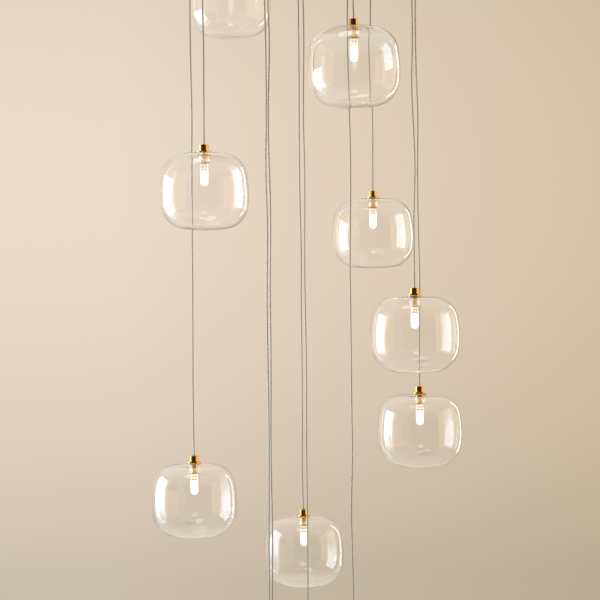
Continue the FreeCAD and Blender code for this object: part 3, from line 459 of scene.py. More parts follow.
def surface(tree, shader, tone, dull, relief=None):
    """A tone, a dullness and a relief, led to the shader's own sockets."""
    link(tree, (tone, 2, shader, "Base Color"), (dull, "Result", shader, "Roughness"))
    if relief:
        link(tree, (relief, "Normal", shader, "Normal"))


def cord_material():
    """Braid: crossing helical strands of tinned wire under a glossy sheath, with painted shade
    in the gaps between strands.
    """
    material, tree, shader = new_material(
        "braided_cord", Metallic=0.35, Coat_Weight=0.9, Coat_Roughness=0.12, Coat_IOR=1.46
    )
    across = add_node(tree, "TexCoord", (-6, 0))
    around = add_node(tree, "SeparateXYZ", (-5, 0))
    height = add_node(tree, "SeparateXYZ", (-5, 2))
    turns = add_node(tree, "Math", (-4, 0), operation="MULTIPLY")
    turns.inputs[1].default_value = math.tau * BRAID_STRANDS / 2
    climb = add_node(tree, "Math", (-4, 2), operation="MULTIPLY")
    climb.inputs[1].default_value = math.tau * BRAID_STRANDS / 2 / BRAID_PITCH
    waves = []
    for row, operation in enumerate(("ADD", "SUBTRACT")):
        phase = add_node(tree, "Math", (-3, row * 2), operation=operation)
        wave = add_node(tree, "Math", (-2, row * 2), operation="SINE")
        link(tree, (turns, 0, phase, 0), (climb, 0, phase, 1), (phase, 0, wave, 0))
        waves.append(wave)
    crossing = add_node(tree, "Math", (-1, 1), operation="MAXIMUM")
    strand_and_gap_shade = add_node(tree, "MapRange", (0, 1), From_Min=-0.6, From_Max=0.9)
    marks = place_group(tree, HANDLING, (-1, 4), Size=9.0, Contrast=0.4)
    # The dark tone between the strands is painted shade in the gaps; the same mask gives the
    # braid its relief.
    tone = mix(tree, (1, 1), (0.20, 0.18, 0.145), (0.62, 0.58, 0.51))
    gloss = add_node(tree, "MapRange", (1, 3), To_Min=0.30, To_Max=0.48)
    relief = add_node(tree, "Bump", (1, 2), Strength=0.5, Distance=0.00012)
    link(
        tree,
        (across, "UV", around, 0),
        (across, "Object", height, 0),
        (around, "Y", turns, 0),
        (height, "Z", climb, 0),
        (waves[0], 0, crossing, 0),
        (waves[1], 0, crossing, 1),
        (crossing, 0, strand_and_gap_shade, "Value"),
        (strand_and_gap_shade, "Result", tone, 0),
        (strand_and_gap_shade, "Result", relief, "Height"),
        (marks, "Smudge", gloss, "Value"),
    )
    surface(tree, shader, tone, gloss, relief)
    return material


CORD_FINISH = cord_material()
for drop in DROPS:
    route = cord_route(drop)
    curve = bpy.data.curves.new("cord_" + drop, "CURVE")
    curve.dimensions = "3D"
    curve.resolution_u = 10
    curve.bevel_depth = CORD_RADIUS
    curve.bevel_resolution = 4
    spline = curve.splines.new("NURBS")
    spline.points.add(len(route) - 1)
    for control, point in zip(spline.points, route):
        control.co = (*point, 1.0)
    spline.order_u = 3
    spline.use_endpoint_u = True
    curve.materials.append(CORD_FINISH)
    cord = bpy.data.objects.new("hanging_cord_" + drop, curve)
    scene.collection.objects.link(cord)
    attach(cord, "cord_" + drop)
    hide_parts("cord_" + drop)


# ----------------------------------------
# Canopy: a cover spun from brass sheet and brushed while it turned, on a zinc-plated plate
# that is screwed to the ceiling.  Three brass screws go through the rim into the plate's tabs.


def turning_group():
    """The fine rings that a tool leaves on what turns about its own Z axis."""
    group, entry, exit_ = new_group(
        "turned_lines", {"Lines": 900.0, "Unevenness": 0.5}, ("Relief", "Tone")
    )
    place = add_node(group, "TexCoord", (0, 0))
    flat = add_node(group, "VectorMath", (1, 0), operation="MULTIPLY")
    flat.inputs[1].default_value = (1.0, 1.0, 0.0)
    radius = add_node(group, "VectorMath", (2, 0), operation="LENGTH")
    axes = add_node(group, "SeparateXYZ", (1, 1))
    ring = add_node(group, "CombineXYZ", (3, 0))
    lines = add_node(group, "TexNoise", (4, 0), Detail=2.0, Roughness=0.75)
    drift = add_node(group, "TexNoise", (4, 2), Scale=14.0, Detail=2.0)
    tone = add_node(group, "Mix", (5, 1), data_type="FLOAT")
    link(
        group,
        (place, "Object", flat, 0),
        (flat, 0, radius, 0),
        (place, "Object", axes, 0),
        (radius, "Value", ring, "X"),
        (axes, "Z", ring, "Y"),
        (ring, 0, lines, "Vector"),
        (entry, "Lines", lines, "Scale"),
        (place, "Object", drift, "Vector"),
        (entry, "Unevenness", tone, 0),
        (lines, "Fac", tone, 2),
        (drift, "Fac", tone, 3),
        (lines, "Fac", exit_, "Relief"),
        (tone, 0, exit_, "Tone"),
    )
    return group


TURNING = turning_group()


def turned_metal(name, pale, deep, lines, relief_depth, gloss, **settings):
    """Metal worked on a lathe: two tones, turned lines, smudges that dull it."""
    material, tree, shader = new_material(name, Metallic=1.0, **settings)
    rings = place_group(tree, TURNING, (-4, 0), Lines=lines)
    marks = place_group(tree, HANDLING, (-4, 2), Size=60.0)
    tone = mix(tree, (-2, 0), deep, pale)
    dull = add_node(tree, "MapRange", (-2, 2), To_Min=gloss[0], To_Max=gloss[1])
    relief = add_node(tree, "Bump", (-2, 3), Strength=0.6, Distance=relief_depth)
    link(
        tree,
        (rings, "Tone", tone, 0),
        (marks, "Smudge", dull, "Value"),
        (rings, "Relief", relief, "Height"),
    )
    surface(tree, shader, tone, dull, relief)
    return material


SPUN_BRASS = turned_metal(
    "spun_brass",
    pale=(0.80, 0.55, 0.25),
    deep=(0.66, 0.42, 0.16),
    lines=700.0,
    relief_depth=0.00006,
    gloss=(0.26, 0.36),
    Anisotropic=0.5,
)
POLISHED_BRASS = turned_metal(
    "polished_brass",
    pale=(0.86, 0.49, 0.14),
    deep=(0.70, 0.35, 0.07),
    lines=2600.0,
    relief_depth=0.000008,
    gloss=(0.05, 0.12),
)


def sheet_metal():
    """Zinc-plated sheet: pale crystals of slightly different greys, and light scratches."""
    material, tree, shader = new_material("zinc_plate", Metallic=1.0)
    place = add_node(tree, "TexCoord", (-5, 0))
    crystal = add_node(tree, "TexVoronoi", (-4, 0), Scale=70.0, Randomness=1.0)
    scratch = add_node(tree, "TexNoise", (-4, 2), Scale=40.0, Detail=5.0, Distortion=2.0)
    marks = place_group(tree, HANDLING, (-4, 3), Size=16.0)
    tone = mix(tree, (-2, 0), (0.46, 0.47, 0.49), (0.64, 0.65, 0.66))
    dull = add_node(tree, "MapRange", (-2, 2), To_Min=0.32, To_Max=0.50)
    relief = add_node(tree, "Bump", (-2, 3), Strength=0.25, Distance=0.00005)
    link(
        tree,
        (place, "Object", crystal, "Vector"),
        (place, "Object", scratch, "Vector"),
        (crystal, "Color", tone, 0),
        (marks, "Smudge", dull, "Value"),
        (scratch, "Fac", relief, "Height"),
    )
    surface(tree, shader, tone, dull, relief)
    return material


ZINC_PLATE = sheet_metal()


def finish_node(name, material):
    """A piece of the frame whose shape is right as it is gets its finish."""
    data = frame["nodes"][name].data
    data.materials.clear()
    data.materials.append(material)


finish_node("canopy_cover", SPUN_BRASS)
finish_node("ceiling_plate", ZINC_PLATE)
finish_node("side_screws", POLISHED_BRASS)


# ----------------------------------------
# Cord grips: turned from brass bar, pushed up through the cover and held by a nut inside.
# The cord comes out of a flared socket in the nose.


def eased(corners, ease, steps):
    """A closed outline with each corner rounded, and a point beside each end of the round."""
    points = []
    count = len(corners)
    for i, corner in enumerate(corners):
        here = Vector(corner)
        back = Vector(corners[i - 1]) - here
        ahead = Vector(corners[(i + 1) % count]) - here
        reach = min(ease, back.length * 0.3, ahead.length * 0.3)
        start = here + back.normalized() * reach
        end = here + ahead.normalized() * reach
        points.append(start + back.normalized() * reach * 0.4)
        for step in range(steps + 1):
            t = step / steps
            points.append(start * (1 - t) ** 2 + here * 2 * t * (1 - t) + end * t**2)
        points.append(end + ahead.normalized() * reach * 0.4)
    return [(max(point.x, 0.0), point.y) for point in points]


def stitch(mesh, rings, segments):
    """Faces from each ring of vertices to the next.  A ring of one vertex is a pole."""
    for low, high in zip(rings, rings[1:]):
        if len(low) == 1 and len(high) == 1:
            continue
        for k in range(segments):
            following = (k + 1) % segments
            corners = [low[k % len(low)], low[following % len(low)]]
            corners += [high[following % len(high)], high[k % len(high)]]
            mesh.faces.new(list(dict.fromkeys(corners)))
    bmesh.ops.recalc_face_normals(mesh, faces=mesh.faces)


def turned(name, outline, segments, wobble=None):
    """A closed outline of (radius, height) turned about Z.  Points on the axis become poles."""
    mesh = bmesh.new()
    rings = []
    for radius, height in outline:
        if radius < 1e-7:
            rings.append([mesh.verts.new((0.0, 0.0, height))])
            continue
        ring = []
        for k in range(segments):
            angle = math.tau * k / segments
            reach = radius + (wobble(radius, height, angle) if wobble else 0.0)
            across, along = reach * math.cos(angle), reach * math.sin(angle)
            ring.append(mesh.verts.new((across, along, height)))
        rings.append(ring)
    stitch(mesh, rings + rings[:1], segments)
    for face in mesh.faces:
        face.smooth = True
    return mesh_data(mesh, name)


def lathed(name, corners, ease, steps, segments):
    """Corners of (radius, height), eased, and turned about Z."""
    return turned(name, eased(corners, ease, steps), segments)


def put(name, data, material, body, place, stands_for=()):
    """One piece of the light, placed, riding on its body, with its finish."""
    piece = bpy.data.objects.new(name, data)
    if not data.materials:
        data.materials.append(material)
    piece.location = place
    scene.collection.objects.link(piece)
    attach(piece, body)
    if stands_for:
        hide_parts(*stands_for)
    return piece


GRIP_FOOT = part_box("cord_grips")[0].z
SOCKET_MOUTH = 0.0027
SOCKET_FLOOR = 0.0019
SOCKET_DEPTH = 0.003
CORD_HOLE = 0.00155
NOSE_TIP, NOSE_BASE = 0.0036, 0.0060
FLANGE_RADIUS = 0.0075
FLANGE_FOOT, FLANGE_TOP = 0.012, 0.015
THREAD_RADIUS = 0.0049
THREAD_TOP = 0.023
grip_mesh = lathed(
    "cord_grip",
    [
        (SOCKET_MOUTH, 0.0),
        (NOSE_TIP, 0.0),
        (NOSE_BASE, FLANGE_FOOT),
        (FLANGE_RADIUS, FLANGE_FOOT),
        (FLANGE_RADIUS, FLANGE_TOP),
        (THREAD_RADIUS, FLANGE_TOP),
        (THREAD_RADIUS, THREAD_TOP),
        (CORD_HOLE, THREAD_TOP),
        (CORD_HOLE, SOCKET_DEPTH),
        (SOCKET_FLOOR, SOCKET_DEPTH),
    ],
    ease=0.0003,
    steps=3,
    segments=48,
)
for drop in DROPS:
    exit_ = joint_at["swing_" + drop]
    put(
        "cord_grip_" + drop,
        grip_mesh,
        POLISHED_BRASS,
        "canopy",
        (exit_.x, exit_.y, GRIP_FOOT),
        stands_for=("cord_grips",) if drop == DROPS[0] else (),
    )
finish_node("grip_nuts", POLISHED_BRASS)


# ----------------------------------------
# Electrics under the plate: the driver in its white moulded case, the nylon terminal block,
# the black puck that shares its output among the cords, and the leads between them.


def moulded(name, pale, deep, size, gloss):
    """Moulded plastic: a fine spark-eroded grain, an even colour with slight flow marks."""
    material, tree, shader = new_material(name)
    place = add_node(tree, "TexCoord", (-5, 0))
    grain = add_node(tree, "TexNoise", (-4, 0), Scale=size, Detail=3.0)
    marks = place_group(tree, HANDLING, (-4, 2), Size=30.0)
    tone = mix(tree, (-2, 0), pale, deep)
    dull = add_node(tree, "MapRange", (-2, 2), To_Min=gloss[0], To_Max=gloss[1])
    relief = add_node(tree, "Bump", (-2, 3), Strength=0.3, Distance=0.00004)
    link(
        tree,
        (place, "Object", grain, "Vector"),
        (marks, "Smudge", tone, 0),
        (grain, "Fac", dull, "Value"),
        (grain, "Fac", relief, "Height"),
    )
    surface(tree, shader, tone, dull, relief)
    return material


# Each moulding: its two tones, the size of its grain, and its least and most roughness.
MOULDINGS = {
    "white_case": ((0.80, 0.80, 0.77), (0.72, 0.71, 0.68), 1800.0, (0.42, 0.55)),
    "natural_nylon": ((0.78, 0.75, 0.66), (0.70, 0.66, 0.56), 1200.0, (0.35, 0.45)),
    "black_moulding": ((0.030, 0.030, 0.031), (0.022, 0.022, 0.024), 1500.0, (0.40, 0.55)),
    "lead_sheath": ((0.055, 0.055, 0.060), (0.040, 0.040, 0.045), 700.0, (0.30, 0.42)),
}
plastics = {name: moulded(name, *values) for name, values in MOULDINGS.items()}
finish_node("led_driver", plastics["white_case"])
finish_node("driver_screws", ZINC_PLATE)
finish_node("mains_terminal", plastics["natural_nylon"])
finish_node("distribution_puck", plastics["black_moulding"])
finish_node("inner_leads", plastics["lead_sheath"])
finish_node("feed_leads", plastics["lead_sheath"])


# ----------------------------------------
# Fitting of one drop: a polished brass cap over a wider collar, and the lampholder's slim
# sleeve down through the neck, with a wider heel.  Clear silicone fills the neck around the
# sleeve and lies under the collar, and the lamp's pins push into a dark insert inside it.

GLASS_RADIUS = 0.0750
GLASS_HEIGHT = 0.1290
GLASS_WALL = 0.0020
WIDEST_LEVEL = 0.0610
CROWN_RADIUS = 0.3500
BASE_RADIUS = 0.3200
NECK_BORE = 0.0070
NECK_LENGTH = 0.0160
NECK_FILLET = 0.0026
FIT = 0.0001

lip_x = NECK_BORE + GLASS_WALL + NECK_FILLET
lip_y = GLASS_HEIGHT - CROWN_RADIUS
lip_y += math.sqrt((CROWN_RADIUS - GLASS_WALL - NECK_FILLET) ** 2 - lip_x**2)
LIP_TOP = lip_y + NECK_FILLET + GLASS_WALL
NECK_END = LIP_TOP - NECK_LENGTH
COLLAR_FOOT = LIP_TOP + 0.0011
CAP_FOOT = COLLAR_FOOT + 0.0022
CAP_TOP = CAP_FOOT + 0.0105
SLEEVE_RADIUS = 0.0040
SLEEVE_BORE = 0.0034
SLEEVE_TOP = CAP_FOOT + 0.0012
HEEL_RADIUS = 0.0056
HEEL_TOP = NECK_END + 0.0032
GASKET_RADIUS = 0.0124
GASKET_FOOT = LIP_TOP + FIT
INSERT_HEAD = 0.0044
INSERT_FOOT = NECK_END - 0.0016
INSERT_TOP = INSERT_FOOT + 0.0016 + 0.012
LEDGE_BORE = 0.0018
CAP_RADIUS = 0.0080
CAP_BORE = CAP_RADIUS - 0.0016
CAP_ROOF = CAP_TOP - 0.005
COLLAR_RADIUS = 0.0120
SEAT_RADIUS = 0.0061
LEDGE_TOP = INSERT_TOP + FIT + 0.0010
GROOVE_RADIUS = SLEEVE_RADIUS - 0.00025
GROOVE_PITCH = 0.0024
SCREW_RADIUS = 0.0015
SCREW_LEVEL = CAP_FOOT + 0.003
SCREW_SEGMENTS = 24
DRILL_MIDDLE = 0.0075
DRILL_DEPTH = 0.006


def cap_mesh():
    """The cap, with the hole for its grub screw drilled through the back."""
    data = lathed(
        "cap",
        [
            (CORD_HOLE, CAP_ROOF),
            (CAP_BORE, CAP_ROOF),
            (CAP_BORE, CAP_FOOT),
            (CAP_RADIUS, CAP_FOOT),
            (CAP_RADIUS, CAP_TOP),
            (SOCKET_MOUTH, CAP_TOP),
            (SOCKET_FLOOR, CAP_TOP - SOCKET_DEPTH),
            (CORD_HOLE, CAP_TOP - SOCKET_DEPTH),
        ],
        ease=0.0005,
        steps=4,
        segments=96,
    )
    drill_mesh = bmesh.new()
    lying = Matrix.Rotation(math.pi / 2, 4, "X")
    bmesh.ops.create_cone(
        drill_mesh,
        cap_ends=True,
        segments=32,
        radius1=SCREW_RADIUS + FIT,
        radius2=SCREW_RADIUS + FIT,
        depth=DRILL_DEPTH,
        matrix=Matrix.Translation((0.0, DRILL_MIDDLE, SCREW_LEVEL)) @ lying,
    )
    drill = bpy.data.objects.new("cap_drill", mesh_data(drill_mesh, "cap_drill"))
    blank = bpy.data.objects.new("cap_blank", data)
    for thing in (drill, blank):
        scene.collection.objects.link(thing)
    cut = blank.modifiers.new("drill", "BOOLEAN")
    cut.operation = "DIFFERENCE"
    cut.object = drill
    cut.solver = "EXACT"
    bpy.context.view_layer.update()
    graph = bpy.context.evaluated_depsgraph_get()
    drilled = bpy.data.meshes.new_from_object(blank.evaluated_get(graph))
    drilled.name = "cap_drilled"
    for thing in (blank, drill):
        bpy.data.objects.remove(thing)
    return drilled


def grub_screw_mesh():
    """A grub screw along +Y with a hexagon socket in its outer end."""
    mesh = bmesh.new()
    rings = []
    inner_end = CAP_RADIUS - 0.0034
    outer_end = CAP_RADIUS - 0.0002
    for radius, y, sides in (
        (0.0, inner_end, SCREW_SEGMENTS),
        (0.0011, inner_end, SCREW_SEGMENTS),
        (SCREW_RADIUS, inner_end + 0.0004, SCREW_SEGMENTS),
        (SCREW_RADIUS, outer_end - 0.0001, SCREW_SEGMENTS),
        (SCREW_RADIUS - 0.0001, outer_end, SCREW_SEGMENTS),
        (0.00078, outer_end, 6),
        (0.00074, outer_end - 0.0013, 6),
        (0.0, outer_end - 0.0015, 6),
    ):
        if radius == 0.0:
            rings.append([mesh.verts.new((0.0, y, SCREW_LEVEL))])
            continue
        ring = []
        for k in range(SCREW_SEGMENTS):
            angle = math.tau * k / SCREW_SEGMENTS
            half_side = math.pi / sides
            flat = math.cos(half_side) / math.cos((angle % (math.tau / sides)) - half_side)
            reach = radius * (flat if sides == 6 else 1.0)
            level = SCREW_LEVEL + reach * math.sin(angle)
            ring.append(mesh.verts.new((reach * math.cos(angle), y, level)))
        rings.append(ring)
    stitch(mesh, rings, SCREW_SEGMENTS)
    return mesh_data(mesh, "grub_screw")


def sleeve_outline():
    """The sleeve: a turned heel, a grooved shank, a flange, and a ledge inside on the insert."""
    corners = [(SLEEVE_BORE, NECK_END), (HEEL_RADIUS, NECK_END)]
    corners += [(HEEL_RADIUS, HEEL_TOP - 0.0012), (HEEL_RADIUS - 0.0007, HEEL_TOP - 0.0009)]
    corners += [(HEEL_RADIUS - 0.0007, HEEL_TOP), (SLEEVE_RADIUS, HEEL_TOP)]
    level = HEEL_TOP + 0.0016
    while level < COLLAR_FOOT - 0.0020:
        corners += [
            (SLEEVE_RADIUS, level),
            (GROOVE_RADIUS, level + 0.00030),
            (GROOVE_RADIUS, level + 0.00075),
            (SLEEVE_RADIUS, level + 0.00105),
        ]
        level += GROOVE_PITCH
    corners += [
        (SLEEVE_RADIUS, CAP_FOOT),
        (SEAT_RADIUS, CAP_FOOT),
        (SEAT_RADIUS, SLEEVE_TOP),
        (SLEEVE_BORE, SLEEVE_TOP),
        (SLEEVE_BORE, LEDGE_TOP),
        (LEDGE_BORE, LEDGE_TOP),
        (LEDGE_BORE, INSERT_TOP + FIT),
        (SLEEVE_BORE, INSERT_TOP + FIT),
    ]
    return corners


SATIN_BRASS = turned_metal(
    "satin_brass",
    pale=(0.95, 0.60, 0.12),
    deep=(0.72, 0.40, 0.05),
    lines=2200.0,
    relief_depth=0.00002,
    gloss=(0.30, 0.42),
)


def paint_sleeve_glow(material, pale, deep):
    """A painted glow on the turned brass in the neck: an emission that stands for the lamp's
    light caught there and sent out sideways.
    """
    tree = material.node_tree
    shader = tree.nodes["Principled BSDF"]
    shader.inputs["Metallic"].default_value = 0.35
    shader.inputs["Emission Strength"].default_value = 1.0
    rings = place_group(tree, TURNING, (-4, 5), Lines=1100.0)
    painted_glow = mix(tree, (-2, 5), deep, pale)
    link(tree, (rings, "Relief", painted_glow, 0), (painted_glow, 2, shader, "Emission Color"))


# The sleeve's brass gets a painted glow, standing for the lamp's light from below.
paint_sleeve_glow(SATIN_BRASS, pale=(0.50, 0.28, 0.010), deep=(0.10, 0.045, 0.001))
STEEL_SCREW = turned_metal(
    "steel_screw",
    pale=(0.42, 0.42, 0.42),
    deep=(0.30, 0.30, 0.30),
    lines=2500.0,
    relief_depth=0.00001,
    gloss=(0.25, 0.35),
)


def silicone():
    """Clear silicone: soft, slightly cloudy, with a satin face."""
    material, tree, shader = new_material("silicone", Transmission_Weight=0.96, IOR=1.22)
    marks = place_group(tree, HANDLING, (-4, 2), Size=200.0)
    tone = mix(tree, (-2, 0), (0.98, 0.975, 0.96), (0.94, 0.93, 0.90))
    dull = add_node(tree, "MapRange", (-2, 2), To_Min=0.06, To_Max=0.14)
    link(tree, (marks, "Smudge", tone, 0), (marks, "Dust", dull, "Value"))
    surface(tree, shader, tone, dull)
    return material


def hang(kind, drop, data, material, node):
    """One piece of a drop, measured up from the foot of its glass."""
    rock = joint_at["rock_" + drop]
    place = (rock.x, rock.y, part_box("shade_" + drop)[0].z)
    body = "pendant_" + drop
    return put(f"{kind}_{drop}", data, material, body, place, (f"{node}_{drop}",))


DARK_MOULDING = moulded(
    "dark_moulding",
    pale=(0.150, 0.090, 0.030),
    deep=(0.095, 0.058, 0.020),
    size=2600.0,
    gloss=(0.35, 0.50),
)
FITTING_PIECES = {
    "cap": (cap_mesh(), POLISHED_BRASS),
    "collar": (
        lathed(
            "collar",
            [
                (SLEEVE_RADIUS + FIT, COLLAR_FOOT),
                (COLLAR_RADIUS, COLLAR_FOOT),
                (COLLAR_RADIUS, CAP_FOOT),
                (SLEEVE_RADIUS + FIT, CAP_FOOT),
            ],
            ease=0.0002,
            steps=2,
            segments=96,
        ),
        POLISHED_BRASS,
    ),
    "sleeve": (lathed("sleeve", sleeve_outline(), 0.00012, 2, 64), SATIN_BRASS),
    "grub_screw": (grub_screw_mesh(), STEEL_SCREW),
    "gasket": (
        lathed(
            "gasket",
            [
                (SLEEVE_RADIUS + FIT, HEEL_TOP),
                (NECK_BORE - FIT, HEEL_TOP),
                (NECK_BORE - FIT, GASKET_FOOT),
                (GASKET_RADIUS, GASKET_FOOT),
                (GASKET_RADIUS, COLLAR_FOOT),
                (SLEEVE_RADIUS + FIT, COLLAR_FOOT),
            ],
            ease=0.0003,
            steps=3,
            segments=72,
        ),
        silicone(),
    ),
    "insert": (
        lathed(
            "insert",
            [
                (0.0, INSERT_FOOT),
                (INSERT_HEAD, INSERT_FOOT),
                (INSERT_HEAD, NECK_END),
                (SLEEVE_BORE - FIT, NECK_END),
                (SLEEVE_BORE - FIT, INSERT_TOP),
                (0.0, INSERT_TOP),
            ],
            ease=0.0003,
            steps=3,
            segments=48,
        ),
        DARK_MOULDING,
    ),
}
for drop in DROPS:
    for kind, (data, material) in FITTING_PIECES.items():
        node = "lamp" if kind in ("gasket", "insert") else "fitting"
        piece = hang(kind, drop, data, material, node)
        piece.visible_shadow = kind != "gasket"


# ----------------------------------------
# Glass: blown in one piece into a soft-cornered globe, with its neck folded down inside and
# a closed, rounded base.  The wall is 2 mm and follows the breath a little unevenly.

HIGH_SIDE = 0.1750
LOW_SIDE = 0.1950
HIGH_CORNER = 0.0380
LOW_CORNER = 0.0440
GLASS_SEGMENTS = 144


def corner_centre(first, second, radius):
    """Centre of the arc that joins two circles (x, y, radius) from inside, on their right."""
    a = Vector(first[:2])
    b = Vector(second[:2])
    span = (b - a).length
    reach = first[2] - radius
    along = (reach**2 - (second[2] - radius) ** 2 + span**2) / (2 * span)
    aside = math.sqrt(reach**2 - along**2)
    ahead = (b - a) / span
    square = Vector((ahead.y, -ahead.x))
    both = [a + ahead * along + square * aside * side for side in (1, -1)]
    return max(both, key=lambda centre: centre.x)


def arc(centre, radius, start, stop, steps):
    """Points on an arc between the directions of two points, both ends included."""
    angles = [math.atan2(point[1] - centre[1], point[0] - centre[0]) for point in (start, stop)]
    if angles[1] - angles[0] > math.pi:
        angles[1] -= math.tau
    if angles[0] - angles[1] > math.pi:
        angles[1] += math.tau
    found = []
    for step in range(steps + 1):
        angle = angles[0] + (angles[1] - angles[0]) * step / steps
        across, up = radius * math.cos(angle), radius * math.sin(angle)
        found.append((centre[0] + across, centre[1] + up))
    return found


def glass_outline():
    """Up the outside from the middle of the base, down the neck, and back down the inside."""
    crown = (0.0, GLASS_HEIGHT - CROWN_RADIUS, CROWN_RADIUS)
    base = (0.0, BASE_RADIUS, BASE_RADIUS)
    high = (GLASS_RADIUS - HIGH_SIDE, WIDEST_LEVEL, HIGH_SIDE)
    low = (GLASS_RADIUS - LOW_SIDE, WIDEST_LEVEL, LOW_SIDE)
    high_corner = corner_centre(crown, high, HIGH_CORNER)
    low_corner = corner_centre(base, low, LOW_CORNER)

    def touch(circle, centre):
        """A point on the line through the two centres, past the arc's own."""
        return Vector(centre) * 2 - Vector(circle[:2])

    lip = (lip_x, lip_y)
    widest = (1.0, WIDEST_LEVEL)
    stretches = [
        (base, (0.0, -1.0), touch(base, low_corner), 26),
        ((*low_corner, LOW_CORNER), touch(base, low_corner), touch(low, low_corner), 22),
        (low, touch(low, low_corner), widest, 10),
        (high, widest, touch(high, high_corner), 12),
        ((*high_corner, HIGH_CORNER), touch(high, high_corner), touch(crown, high_corner), 22),
        (crown, touch(crown, high_corner), touch(crown, lip), 22),
    ]
    outside, inside = [], []
    for circle, start, stop, steps in stretches:
        outside += arc(circle, circle[2], start, stop, steps)[1 if outside else 0 :]
        inside += arc(circle, circle[2] - GLASS_WALL, start, stop, steps)[1 if inside else 0 :]
    fold_out = arc(lip, NECK_FILLET + GLASS_WALL, touch(crown, lip), (0.0, lip_y), 10)
    fold_in = arc(lip, NECK_FILLET, touch(crown, lip), (0.0, lip_y), 10)
    bore = [(NECK_BORE, lip_y + (NECK_END - lip_y) * k / 8) for k in range(1, 8)]
    far_side = [(NECK_BORE + GLASS_WALL, height) for _, height in bore]
    half = GLASS_WALL / 2
    rim = NECK_END + half
    mouth = arc((NECK_BORE + half, rim), half, (0.0, rim), (1.0, rim), 8)
    mouth = [(x, min(y, 2 * rim - y)) for x, y in mouth]
    outline = outside + fold_out[1:] + bore[:-1] + mouth + list(reversed(far_side[:-1]))
    outline += list(reversed(fold_in[1:])) + list(reversed(inside))
    return outline


def breath_of(turn):
    """How far one glass stands off a true round: not at its neck, most at the shoulders."""

    def breath(radius, height, angle):
        share = min(max((radius - 0.018) / 0.030, 0.0), 1.0)
        share = share * share * (3 - 2 * share)
        level = height / GLASS_HEIGHT
        around = angle + turn
        sway = 0.00030 * math.sin(2 * around + 2.2 * level)
        sway += 0.00018 * math.sin(3 * around - 4.0 * level + 1.0)
        sway += 0.00009 * math.sin(5 * around + 6.0 * level + 2.0)
        return share * sway

    return breath


def clear_glass():
    """Clear soda glass: a breath of warm grey, fine waves in the wall, faint smudges."""
    material, tree, shader = new_material("clear_glass", Transmission_Weight=1.0, IOR=1.5)
    marks = place_group(tree, HANDLING, (-4, 0), Size=14.0, Contrast=0.7)
    place = add_node(tree, "TexCoord", (-5, 2))
    stretch = add_node(tree, "VectorMath", (-4, 2), operation="MULTIPLY")
    stretch.inputs[1].default_value = (1.0, 1.0, 0.45)
    wave = add_node(tree, "TexNoise", (-3, 2), Scale=26.0, Detail=1.0)
    tone = mix(tree, (-2, 0), (1.0, 0.999, 0.996), (0.992, 0.990, 0.984))
    dull = add_node(tree, "MapRange", (-2, 1), To_Min=0.0, To_Max=0.025)
    relief = add_node(tree, "Bump", (-2, 2), Strength=0.35, Distance=0.0006)
    link(
        tree,
        (place, "Object", stretch, 0),
        (stretch, 0, wave, "Vector"),
        (wave, "Fac", relief, "Height"),
        (marks, "Smudge", tone, 0),
        (marks, "Smudge", dull, "Value"),
    )
    surface(tree, shader, tone, dull, relief)
    return material


CLEAR_GLASS = clear_glass()
TURN_BETWEEN = math.radians(137.5)
for count, drop in enumerate(DROPS):
    breath = breath_of(TURN_BETWEEN * count)
    blown = turned("glass_" + drop, glass_outline(), GLASS_SEGMENTS, breath)
    glass = hang("glass", drop, blown, CLEAR_GLASS, "shade")
    glass.visible_shadow = False


# ----------------------------------------
# Lamp: a two-pin capsule, pushed into the holder.  A clear envelope with a pinched base, a
# frosted tube inside that glows over its whole length, and the small metal bar that holds it.

LAMP_TOP = INSERT_FOOT - 0.0003
LAMP_RADIUS = 0.0066
LAMP_LENGTH = 0.037
LAMP_WALL = 0.0009
PINCH_LENGTH = 0.0085
PINCH_RADIUS = 0.0060
PIN_SPREAD = 0.0020
PIN_RADIUS = 0.00035
PIN_LENGTH = 0.0050
TUBE_RADIUS = 0.0036
TUBE_FOOT_RADIUS = 0.0016
TUBE_TAPER = 0.0100
TUBE_END_ROUND = 0.0016
TUBE_GLOW = 2.4
ENVELOPE_GLOW = 1.0
BAR_LEVEL = LAMP_TOP - 0.0115
lamp_tip = LAMP_TOP - LAMP_LENGTH
shoulder = LAMP_TOP - PINCH_LENGTH
rounding = lamp_tip + LAMP_RADIUS


def envelope_outline():
    """Up the outside from the tip, over the pinched base, and back down the inside."""
    inner = LAMP_RADIUS - LAMP_WALL
    outline = arc((0.0, rounding), LAMP_RADIUS, (0.0, lamp_tip), (1.0, rounding), 14)
    outline += [(LAMP_RADIUS, rounding + (shoulder - rounding) * k / 6) for k in range(1, 7)]
    outline += [(PINCH_RADIUS + 0.0002, shoulder + 0.0004), (PINCH_RADIUS, shoulder + 0.0008)]
    outline += [(PINCH_RADIUS, LAMP_TOP - 0.0012), (PINCH_RADIUS, LAMP_TOP - 0.0004)]
    outline += [(PINCH_RADIUS - 0.0004, LAMP_TOP), (0.0, LAMP_TOP)]
    outline += [(0.0, shoulder + 0.0010), (inner * 0.6, shoulder + 0.0005)]
    outline += [(inner, shoulder - 0.0010)]
    outline += [(inner, rounding + (shoulder - 0.001 - rounding) * k / 5) for k in (4, 3, 2, 1)]
    outline += arc((0.0, rounding), inner, (1.0, rounding), (0.0, lamp_tip), 14)
    return outline


